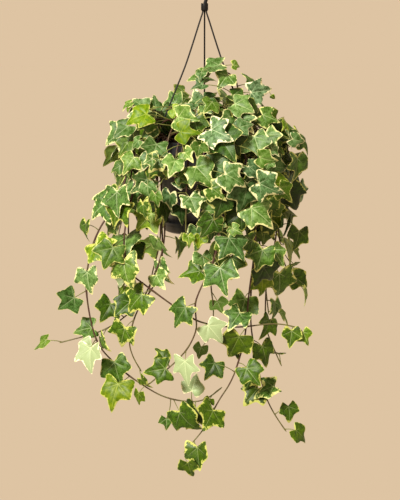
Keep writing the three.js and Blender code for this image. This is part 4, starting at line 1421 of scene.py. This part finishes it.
def fill(node, inputs):
    """Links each input of a node to another node's socket, or sets it to a value. They are named, or
    listed in the order of the sockets in use. A colour comes without its alpha."""
    if isinstance(inputs, dict):
        sockets, values = [node.inputs[key] for key in inputs], inputs.values()
    else:
        sockets, values = [socket for socket in node.inputs if socket.enabled], inputs
    for socket, value in zip(sockets, values):
        if isinstance(value, NodeSocket):
            node.id_data.links.new(value, socket)
        else:
            socket.default_value = value if np.isscalar(value) else rgba(value)


def add_node(tree, kind, inputs=(), output=0, **settings):
    """Adds a node with its settings and inputs, and gives the output asked for: a name, or a number
    or slice of the outputs in use."""
    node = tree.nodes.new("ShaderNode" + kind)
    for key, value in settings.items():
        setattr(node, key, value)
    fill(node, inputs)
    if isinstance(output, str):
        return node.outputs[output]
    return [socket for socket in node.outputs if socket.enabled][output]


def new_material(name):
    """An empty material, the function that adds a node to it, and its shader."""
    material = bpy.data.materials.new(name)
    material.use_nodes = True
    tree = material.node_tree
    tree.nodes.clear()
    shader = tree.nodes.new("ShaderNodeBsdfPrincipled")
    output = tree.nodes.new("ShaderNodeOutputMaterial")
    tree.links.new(shader.outputs["BSDF"], output.inputs["Surface"])
    return material, partial(add_node, tree), shader


def leaf_inputs(add):
    """What the blade's attributes say: the pattern's place, the veins, the edge and the leaf's looks."""
    place = add("Attribute", output="Vector", attribute_name="place")
    vein = add("Attribute", output="Vector", attribute_name="vein")
    edge = add("Attribute", output="Fac", attribute_name="edge")
    look, _, _, shade = add("Attribute", output=ALL, attribute_name="look")
    return place, *add("SeparateXYZ", [vein], ALL), edge, *add("SeparateColor", [look], ALL), shade


def vein_mask(add, along, off, ring, spacing):
    """Main veins are thin lines along the lobes, finer towards the tips. Side veins leave them at
    even steps and lean forward, so they are lines of equal along minus off."""
    width = add("MapRange", [ring, 0, 1, 0.95, 0.4])
    main = add("MapRange", [off, 0, width, 1, 0], interpolation_type="SMOOTHSTEP")
    lean = add("Math", [off, 1.15], operation="MULTIPLY")
    level = add("Math", [along, lean], operation="SUBTRACT")
    swing = add("Math", [level, spacing / 2], operation="PINGPONG")
    side = add("MapRange", [swing, 0, 0.32, 1, 0], interpolation_type="SMOOTHSTEP")
    fade = add("MapRange", [off, 0.4, 8, 0.55, 0])
    side = add("Math", [side, fade], operation="MULTIPLY")
    return add("Math", [main, side], operation="MAXIMUM")


def margin_mask(add, place, edge, cream):
    """The pale margin is where the edge is nearer than a width, which swells and fades along it."""
    ragged = add("TexNoise", {"Vector": place, "Scale": 1 / PATCH, "Detail": 4, "Roughness": 0.62})
    swell = add("MapRange", [ragged, 0.38, 0.66, -0.5, 2.9])
    width = add("Math", [cream, swell], operation="MULTIPLY")
    inner = add("Math", [width, 0.35], operation="SUBTRACT")
    outer = add("Math", [width, 0.35], operation="ADD")
    return add("MapRange", [edge, inner, outer, 1, 0], interpolation_type="SMOOTHSTEP")


def upper_leaf(colours, sizes):
    """Ivy leaf, upper side: a waxy cuticle over green tissue with chlorophyll-free margins. It gives
    soft highlights, grey-green and dark patches that follow the veins, and a ragged cream edge. Its
    shade value darkens it as painted shade, and turns a thin pale leaf towards cream as painted light."""
    material, add, shader = new_material("ivy_leaf_upper_side")
    place, along, off, ring, edge, tint, youth, cream, shade = leaf_inputs(add)
    patch = {"Vector": place, "Scale": 1 / PATCH, "Detail": 6, "Roughness": 0.72, "Distortion": 0.4}
    blotch = add("TexNoise", patch)
    fine = add("TexNoise", {"Vector": place, "Scale": 1 / PORE, "Detail": 2})
    veins = vein_mask(add, along, off, ring, sizes.vein_spacing / MM)

    # Grey or green patches on dark, evened out on a pale leaf with painted light through it, and paler veins.
    even = add("MapRange", [shade, 1.1, 1.5, 0.12, 0.9])
    grey = add("MapRange", [blotch, 0.4, 0.58, even, 1])
    light = add("Mix", [tint, colours.leaf_green, colours.leaf_grey], data_type="RGBA")
    mature = add("Mix", [grey, colours.leaf_dark, light], data_type="RGBA")
    young = add("Mix", [grey, colours.leaf_young, colours.leaf_lime], data_type="RGBA")
    green = add("Mix", [youth, mature, young], data_type="RGBA")
    pale = add("Mix", [youth, linear(VEIN_GREY), linear(VEIN_LIME)], data_type="RGBA")
    share = add("Math", [veins, 0.55], operation="MULTIPLY")
    green = add("Mix", [share, green, pale], data_type="RGBA")

    # Painted shade makes a leaf darker and richer, and its tint turns its hue a little.
    bright = add("MapRange", [shade, 0, 1, 0.17, 1.25])
    rich = add("MapRange", [shade, 0, 1, 1.5, 1.07])
    hue = add("MapRange", [tint, 0, 1, 0.476, 0.504])
    green = add("HueSaturation", {"Hue": hue, "Saturation": rich, "Value": bright, "Color": green})
    # Painted light: a thin pale leaf turns towards cream, for the light that comes through it.
    thin = add("MapRange", [shade, 1.1, 1.6, 0, 0.22])
    green = add("Mix", [thin, green, colours.cream], data_type="RGBA")

    # The margin is yellower on a young leaf, on one with painted shade and on one with little tint, and
    #     painted shade dims it.
    warm = add("Math", [tint, -0.9, youth], operation="MULTIPLY_ADD")
    warm = add("Math", [shade, -0.7, warm], operation="MULTIPLY_ADD")
    warm = add("Math", [warm, 1.38], operation="ADD", use_clamp=True)
    rim = add("Mix", [warm, colours.cream, colours.yellow], data_type="RGBA")
    dim = add("MapRange", [shade, 0, 1, 0.55, 1.1])
    rim = add("HueSaturation", {"Value": dim, "Color": rim})
    margin = margin_mask(add, place, edge, cream)
    colour = add("Mix", [margin, green, rim], data_type="RGBA")

    gloss = add("MapRange", [fine, 0, 1, 0.34, 0.52])
    raised = add("Math", [veins, -0.7, fine], operation="MULTIPLY_ADD")
    bump = add("Bump", {"Height": raised, "Distance": 0.25 * MM, "Strength": 0.5})
    fill(shader, {"Base Color": colour, "Roughness": gloss, "Normal": bump})
    fill(shader, {"IOR": 1.42, "Specular IOR Level": 0.32})
    return material


def under_leaf(colours, sizes):
    """Ivy leaf, underside: no wax, so it is matt and paler, with raised veins and the same margin."""
    material, add, shader = new_material("ivy_leaf_underside")
    place, along, off, ring, edge, _, youth, cream, shade = leaf_inputs(add)
    veins = vein_mask(add, along, off, ring, sizes.vein_spacing / MM)
    green = add("Mix", [youth, colours.underside, colours.leaf_lime], data_type="RGBA")
    share = add("Math", [veins, 0.6], operation="MULTIPLY")
    green = add("Mix", [share, green, linear(VEIN_UNDER)], data_type="RGBA")
    margin = margin_mask(add, place, edge, cream)
    colour = add("Mix", [margin, green, colours.yellow], data_type="RGBA")
    # Painted shade: the leaf's shade darkens its underside too, and painted light brightens a thin one.
    bright = add("MapRange", [shade, 0, 1, 0.4, 1.1])
    colour = add("HueSaturation", {"Value": bright, "Color": colour})
    bump = add("Bump", {"Height": veins, "Distance": 0.3 * MM, "Strength": 0.7})
    fill(shader, {"Base Color": colour, "Normal": bump, "Roughness": 0.62, "Specular IOR Level": 0.2})
    return material


def bark(colours):
    """Ivy stem: young bark, finely streaked along the stem. Red-brown where it is old, green where it
    is new and on the leaf stalks."""
    material, add, shader = new_material("ivy_stem_bark")
    look = add("Attribute", output="Color", attribute_name="look")
    fresh = add("SeparateColor", [look], output="Green")
    place = add("Attribute", output="Vector", attribute_name="place")
    patch = add("TexNoise", {"Vector": place, "Scale": 1 / BARK_PATCH, "Detail": 3})
    grain = add("TexNoise", {"Vector": place, "Scale": 1 / BARK_GRAIN, "Detail": 2})
    spread = add("Math", [patch, 0.9, -0.5], operation="MULTIPLY_ADD")
    share = add("Math", [fresh, spread], operation="ADD", use_clamp=True)
    colour = add("Mix", [share, colours.stem_old, colours.stem_new], data_type="RGBA")
    bright = add("MapRange", [grain, 0, 1, 0.75, 1.25])
    colour = add("HueSaturation", {"Value": bright, "Color": colour})
    bump = add("Bump", {"Height": grain, "Distance": 0.2 * MM, "Strength": 0.5})
    fill(shader, {"Base Color": colour, "Roughness": 0.55, "Normal": bump})
    return material


def moulded_plastic(name, colour, rough, dust, shine=0.5):
    """Injection-moulded polypropylene or nylon: a satin skin with a faint spark-eroded grain. It gives
    broad soft highlights, and dried water and dust leave it a little paler and duller in patches."""
    material, add, shader = new_material(name)
    place = add("TexCoord", output="Object")
    patch = add("TexNoise", {"Vector": place, "Scale": 1 / (22 * MM), "Detail": 4, "Roughness": 0.6})
    grain = add("TexNoise", {"Vector": place, "Scale": 1 / (0.7 * MM), "Detail": 1})
    film = add("MapRange", [patch, 0.45, 0.75, 0, dust])
    colour = add("Mix", [film, colour, linear(WATER_MARKS)], data_type="RGBA")
    gloss = add("MapRange", [patch, 0.3, 0.7, rough, rough + 0.16])
    bump = add("Bump", {"Height": grain, "Distance": 0.05 * MM, "Strength": 0.35})
    fill(shader, {"Base Color": colour, "Roughness": gloss, "Normal": bump})
    fill(shader, {"IOR": 1.49, "Specular IOR Level": shine})
    return material


def peat(colour):
    """Peat compost: dark fibrous crumbs with paler fibres and a few grains of white perlite."""
    material, add, shader = new_material("peat_compost")
    place = add("TexCoord", output="Object")
    crumb = add("TexNoise", {"Vector": place, "Scale": 1 / (4 * MM), "Detail": 6, "Roughness": 0.7})
    distance, number = add("TexVoronoi", {"Vector": place, "Scale": 1 / (6 * MM)}, ALL)[:2]
    fibrous = add("MapRange", [crumb, 0.35, 0.7])
    brown = add("Mix", [fibrous, colour, linear(PEAT_FIBRE)], data_type="RGBA")
    few = add("Math", [add("SeparateColor", [number]), 0.93], operation="GREATER_THAN")
    inside = add("Math", [distance, 0.28], operation="LESS_THAN")
    grain = add("Math", [few, inside], operation="MULTIPLY")
    colour = add("Mix", [grain, brown, linear(PERLITE)], data_type="RGBA")
    bump = add("Bump", {"Height": crumb, "Distance": 1.2 * MM, "Strength": 0.9})
    fill(shader, {"Base Color": colour, "Roughness": 0.95, "Normal": bump})
    return material


def plain_floor(colour):
    """Painted board, matt. Its colour times the light on it, which is the sky's and both suns', is the
    sky's own colour, so that the two meet without a line. The plant's shadow falls out of view."""
    material, _, shader = new_material("painted_floor")
    fill(shader, {"Base Color": colour, "Roughness": 1.0, "Specular IOR Level": 0.0})
    return material


# The stage. Places are in metres, and the floor's sizes in millimetres.

VIEW_CENTRE = np.array([-0.0065, 0.0, -0.410])
FLOOR_LEVEL = -1600
FLOOR_RADIUS = 90000
FLOOR_THICK = 40
FLOOR_EDGE = 45
FLOOR_TURNS = 96
SUN_COLOUR = np.array(linear("#fff8ec"))
SUN_SPREAD = math.radians(12)
KEY_PLACE = np.array([-1.9, -3.2, 1.9])
BACK_PLACE = np.array([2.4, 3.2, 0.9])


class IVY_OT_camera(Operator):
    """Set the camera at the photograph's viewing angle"""

    bl_idname = "ivy.camera"
    bl_label = "Camera"

    def execute(self, context):
        stage = context.scene.potted_ivy_stage
        data = bpy.data.cameras.new("camera")
        data.sensor_fit = "VERTICAL"
        data.angle_y = 2 * math.atan(stage.view_height / 2 / stage.distance)
        camera = bpy.data.objects.new("camera", data)
        context.scene.collection.objects.link(camera)
        away = stage.distance * np.array([0, -math.cos(stage.elevation), math.sin(stage.elevation)])
        camera.location = VIEW_CENTRE + away
        camera.rotation_euler = (math.pi / 2 - stage.elevation, 0, 0)
        context.scene.camera = camera
        return {"FINISHED"}


class IVY_OT_stage(Operator):
    """Lay the plain pale floor and set the soft studio lights"""

    bl_idname = "ivy.stage"
    bl_label = "Stage"

    def execute(self, context):
        stage = context.scene.potted_ivy_stage
        colours = context.scene.potted_ivy_colours
        context.scene.view_settings.view_transform = "Standard"
        sky = np.array(colours.studio)
        lit = sky.copy()
        suns = [
            ("key_light", KEY_PLACE, stage.key_strength), ("back_light", BACK_PLACE, stage.back_strength)
        ]
        for name, place, strength in suns:
            aim = unit(VIEW_CENTRE - place)
            lit -= aim[2] * strength / math.pi * SUN_COLOUR
            data = bpy.data.lights.new(name, "SUN")
            data.energy = strength
            data.angle = SUN_SPREAD
            data.color = SUN_COLOUR
            light = bpy.data.objects.new(name, data)
            context.scene.collection.objects.link(light)
            light.visible_glossy = name == "key_light"
            light.location = place
            light.rotation_euler = Vector(aim).to_track_quat("-Z", "Y").to_euler()
        flat, foot = FLOOR_RADIUS - FLOOR_EDGE, FLOOR_LEVEL - FLOOR_THICK
        disc = turned([
            [0, foot], [flat, foot], [FLOOR_RADIUS, foot], [FLOOR_RADIUS, FLOOR_LEVEL],
            [flat, FLOOR_LEVEL], [0, FLOOR_LEVEL],
        ], FLOOR_TURNS)
        floor = build_piece("floor", [solid(disc)], [plain_floor(sky / lit)])
        world = bpy.data.worlds.new("studio")
        world.use_nodes = True
        background = world.node_tree.nodes["Background"]
        background.inputs["Color"].default_value = rgba(sky)
        context.scene.world = world
        return {"FINISHED"}


SLOTS = {"mature": "ivy_mature", "pale": "ivy_pale", "young": "ivy_young"}


def stem_radius(stem, sizes):
    """A stem's radius at its foot, in millimetres. A side shoot is thinner."""
    return sizes.stem_thickness / 2 / MM * (SHOOT_THIN if "parent" in stem else 1)


class IVY_OT_vines(Operator):
    """Grow the leafy stems"""

    bl_idname = "ivy.vines"
    bl_label = "Leafy stems"

    def execute(self, context):
        sizes = context.scene.potted_ivy_leaves
        colours = context.scene.potted_ivy_colours
        materials = [upper_leaf(colours, sizes), under_leaf(colours, sizes), bark(colours)]
        stems = stem_list()
        own = lone_leaves(stems, spread(stems, [placed_leaves(stem) for stem in stems]))
        shoots = side_shoots(stems, own)
        none = chosen(own[0], slice(0))
        grown = add_cover(infill(stems + shoots, own + [none] * len(shoots), sizes.infill))
        for number, stem in enumerate(stems):
            rng = np.random.default_rng(stem["seed"])
            family = [(stem, grown[number])]
            family += [pair for pair in zip(shoots, grown[len(stems):]) if pair[0]["parent"] == number]
            parts = [stem_tube(member, stem_radius(member, sizes)) for member, _ in family]
            leaves = joined([add_looks(member, each, sizes.cream_width / MM) for member, each in family])
            parts += stalks(leaves, sizes.stalk_thickness / 2 / MM, rng)
            forms = np.array([form_of(size) for size in leaves["size"]])
            for form in FORMS:
                same = chosen(leaves, forms == form)
                if len(same["size"]):
                    parts.append(blades(form, same, sizes.blade_thickness / MM, rng))
            piece = build_piece(stem["name"] + "_leaves", parts, materials)
            dress(piece, SLOTS[stem["kind"]], stem["name"])
        return {"FINISHED"}


HOOK_SHANK = [[0, 184], [0, 188], [1.2, 195], [4.2, 203], [8.2, 216], [10.4, 230]]
HOOK_RADIUS = 10.6
HOOK_MIDDLE = 241
HOOK_WIDE = 6
HOOK_THICK = 3.2
HOOK_ROUND = 1.0
# The shank widens by a share of its size towards the collar, over a run that ends at a height.
FLARE = 0.6
FLARE_TOP = 218
FLARE_RUN = 24
# How the bar's end is rounded: steps past the bend, and its size there.
HOOK_END = np.array([[0.6, 0.92], [1.1, 0.7], [1.4, 0.35]])
COLLAR_LOW = 183.5
COLLAR_HIGH = 192.5
COLLAR_RADIUS = 5
COLLAR_ROUND = 0.6
COLLAR_TURNS = 48
# The collar's ribs and the strands' sockets under it: distance from the axis, radius, low and high.
RIBS = [(4.2, 1.4, 183.7, 193.4), (2.8, 1.9, 181.9, 186.0)]
RIB_SIDES = 16
RIB_GROW = np.array([0.82, 1.0, 1.0, 0.85, 0.5])
STRAND_RADIUS = 1.15
STRAND_SIDES = 12
STRAND_SWELL = 0.6
SWELL_RUN = 5
CLIP_RUN = [[81.7, 4.2], [81.7, -6], [81.7, -18.4], [80.9, -20.6], [79, -21.3], [75.9, -21.0]]
CLIP_WIDE = 7
CLIP_THICK = 2.0
CLIP_ROUND = 0.7
CLIP_END = 0.8


def across_axis(points):
    """Points given as [right, up] in the upright plane that faces the camera."""
    points = np.asarray(points, float)
    return np.stack([points[:, 0], 0 * points[:, 0], points[:, 1]], -1)


def hook_parts():
    """The hook's flat bar swept along its shank and bend, with a rounded end, on the ribbed collar."""
    bend = np.radians(np.arange(0, 201, 10))
    arc = np.stack([HOOK_RADIUS * np.cos(bend), HOOK_MIDDLE + HOOK_RADIUS * np.sin(bend)], -1)
    path = smooth_path(across_axis(np.vstack([HOOK_SHANK, arc])), 3)
    path = np.vstack([path, path[-1] + HOOK_END[:, :1] * unit(path[-1] - path[-2])])
    grow = 1 + FLARE * np.clip((FLARE_TOP - path[:, 2]) / FLARE_RUN, 0, 1)
    grow[-3:] = HOOK_END[:, 1]
    bar = sweep(path, rounded_box(HOOK_WIDE, HOOK_THICK, HOOK_ROUND), -FRONT, grow)
    collar = turned(softened([
        [0, COLLAR_LOW], [COLLAR_RADIUS, COLLAR_LOW], [COLLAR_RADIUS, COLLAR_HIGH - 1.5],
        [COLLAR_RADIUS - 1, COLLAR_HIGH], [0, COLLAR_HIGH],
    ], COLLAR_ROUND), COLLAR_TURNS)
    parts = [solid(bar), solid(collar)]
    for out in map(outward, STRANDS.values()):
        for radius, wide, low, high in RIBS:
            height = np.array([low, low + 0.4, high - 1.2, high - 0.4, high])
            line = radius * out + height[:, None] * UP
            parts.append(solid(sweep(line, circle(wide, RIB_SIDES), out, RIB_GROW)))
    return parts


def strand_parts(azimuth):
    """A strand as a round tube that thickens where it joins its clip, and the clip's flat tongue,
    which hangs outside the rim's band and turns in under it."""
    out = outward(azimuth)
    beside = np.cross(UP, out)
    path = smooth_path(strand_line(azimuth), 6)
    grow = 1 + STRAND_SWELL * np.clip((np.arange(len(path)) - len(path)) / SWELL_RUN + 1, 0, 1)
    tube = sweep(path, circle(STRAND_RADIUS, STRAND_SIDES), beside, grow)
    run = smooth_path(CLIP_RUN, 4)
    shrink = np.ones(len(run))
    shrink[[0, -1]] = CLIP_END
    tongue = run[:, :1] * out + run[:, 1:] * UP
    clip = sweep(tongue, rounded_box(CLIP_WIDE, CLIP_THICK, CLIP_ROUND), beside, shrink)
    return [solid(tube), solid(clip)]


class IVY_OT_hanger(Operator):
    """Mould the hook with its collar, and the three strands with their clips"""

    bl_idname = "ivy.hanger"
    bl_label = "Hanger"

    def execute(self, context):
        colour = context.scene.potted_ivy_colours.hanger
        nylon = moulded_plastic("moulded_black_nylon", colour, rough=0.42, dust=0.03, shine=0.2)
        hook = build_piece("hook_and_collar_moulding", hook_parts(), [nylon])
        dress(hook, "hanger_plastic", "hook_and_collar")
        for name, azimuth in STRANDS.items():
            strand = build_piece(name + "_moulding", strand_parts(azimuth), [nylon])
            dress(strand, "hanger_plastic", name)
        return {"FINISHED"}


WALL_RUN = [[50, -129.6], [54, -102], [59.5, -76], [67, -45], [75, -18]]
WALL = 2


def pot_profile():
    """From the middle of the foot out, up the wall, round the rim's band and down the inside."""
    outside = [[0, -128.9], [43, -128.9], [44, -129.6], *WALL_RUN]
    band = [[79.5, -18.2], [80.1, -17.2], [79.6, -3], [80.2, -2.2], [80.2, 0], [77.9, 0], [77.6, -16]]
    inside = [[73, -16]] + [[radius - WALL, height] for radius, height in WALL_RUN[-2:0:-1]]
    return outside + band + inside + [[48, -127.6], [0, -127.6]]


TRAY_PROFILE = [
    [0, -131.2], [44, -131.2], [45, -132], [53, -132], [58.5, -129.5], [62.4, -121], [62.6, -117.8],
    [63, -117.4], [63, -116], [61.4, -116], [60.2, -121], [57.2, -127.4], [52.5, -129.9], [0, -129.9],
]


class IVY_OT_pot(Operator):
    """Mould the pot and its drip tray"""

    bl_idname = "ivy.pot"
    bl_label = "Pot and tray"

    def execute(self, context):
        shape = context.scene.potted_ivy_pot
        colour = context.scene.potted_ivy_colours.plastic
        plastic = moulded_plastic("moulded_polypropylene", colour, rough=0.3, dust=0.14)
        for name, profile in (("pot", pot_profile()), ("saucer", TRAY_PROFILE)):
            surface = turned(softened(profile, shape.edge_round / MM), shape.turns)
            piece = build_piece(name + "_moulding", [solid(surface)], [plastic])
            dress(piece, "pot_plastic", name)
        return {"FINISHED"}


SOIL_TURNS = 150
SOIL_RINGS = 46
SOIL_RADIUS = 72.0
SOIL_FOOT = [[0, -127], [47, -127]]
SOIL_GAP = 0.5
# The crumbs of the top: the width of each kind, and its height. They fade over a run at the edge.
CRUMBS = [(11.0, 1.9), (4.5, 1.1), (2.0, 0.6)]
CRUMB_SINK = 0.6
EDGE_RUN = 8


class IVY_OT_soil(Operator):
    """Fill the pot with peat, whose top is heaped and crumbly"""

    bl_idname = "ivy.soil"
    bl_label = "Soil"

    def execute(self, context):
        side = [[radius - WALL - SOIL_GAP, height] for radius, height in WALL_RUN[1:-1]]
        top = [[radius, SOIL_TOP] for radius in np.linspace(SOIL_RADIUS, 0.0, SOIL_RINGS)]
        points, quads, caps = turned(SOIL_FOOT + side + top, SOIL_TURNS)
        on_top = points[:, 2] > SOIL_TOP - 0.01
        rise = sum(size * value_noise(points, cell, cell) for cell, size in CRUMBS)
        inside = SOIL_RADIUS + 0.5 - np.hypot(points[:, 0], points[:, 1])
        points[:, 2] += on_top * (rise * np.clip(inside / EDGE_RUN, 0.15, 1) - CRUMB_SINK)
        material = peat(context.scene.potted_ivy_colours.peat)
        piece = build_piece("peat_fill", [part(points, [quads, caps])], [material])
        dress(piece, "soil", "soil")
        return {"FINISHED"}


class IVY_PT_panel(Panel):
    """Lists the pieces of the hanging ivy, in the order that they are made"""

    bl_idname = "IVY_PT_panel"
    bl_label = "Hanging ivy"
    bl_space_type = "VIEW_3D"
    bl_region_type = "UI"
    bl_category = "Ivy"

    def draw(self, context):
        column = self.layout.column()
        for operator in OPERATORS:
            column.operator(operator.bl_idname)
        for group in GROUPS:
            settings = getattr(context.scene, group)
            for key in settings.bl_rna.properties.keys():
                if key not in ("rna_type", "name"):
                    column.prop(settings, key)


GROUPS = {
    "potted_ivy_leaves": PottedIvyLeaves,
    "potted_ivy_colours": PottedIvyColours,
    "potted_ivy_pot": PottedIvyPot,
    "potted_ivy_stage": PottedIvyStage,
}
OPERATORS = [IVY_OT_camera, IVY_OT_stage, IVY_OT_pot, IVY_OT_soil, IVY_OT_hanger, IVY_OT_vines]
CLASSES = [*GROUPS.values(), *OPERATORS, IVY_PT_panel]


def register():
    for item in CLASSES:
        bpy.utils.register_class(item)
    for name, group in GROUPS.items():
        setattr(bpy.types.Scene, name, PointerProperty(type=group))


def unregister():
    for name in GROUPS:
        delattr(bpy.types.Scene, name)
    for item in reversed(CLASSES):
        bpy.utils.unregister_class(item)


def main():
    register()
    bpy.ops.ivy.camera()
    bpy.ops.ivy.stage()
    bpy.ops.ivy.pot()
    bpy.ops.ivy.soil()
    bpy.ops.ivy.hanger()
    bpy.ops.ivy.vines()
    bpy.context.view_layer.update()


if __name__ == "__main__":
    main()
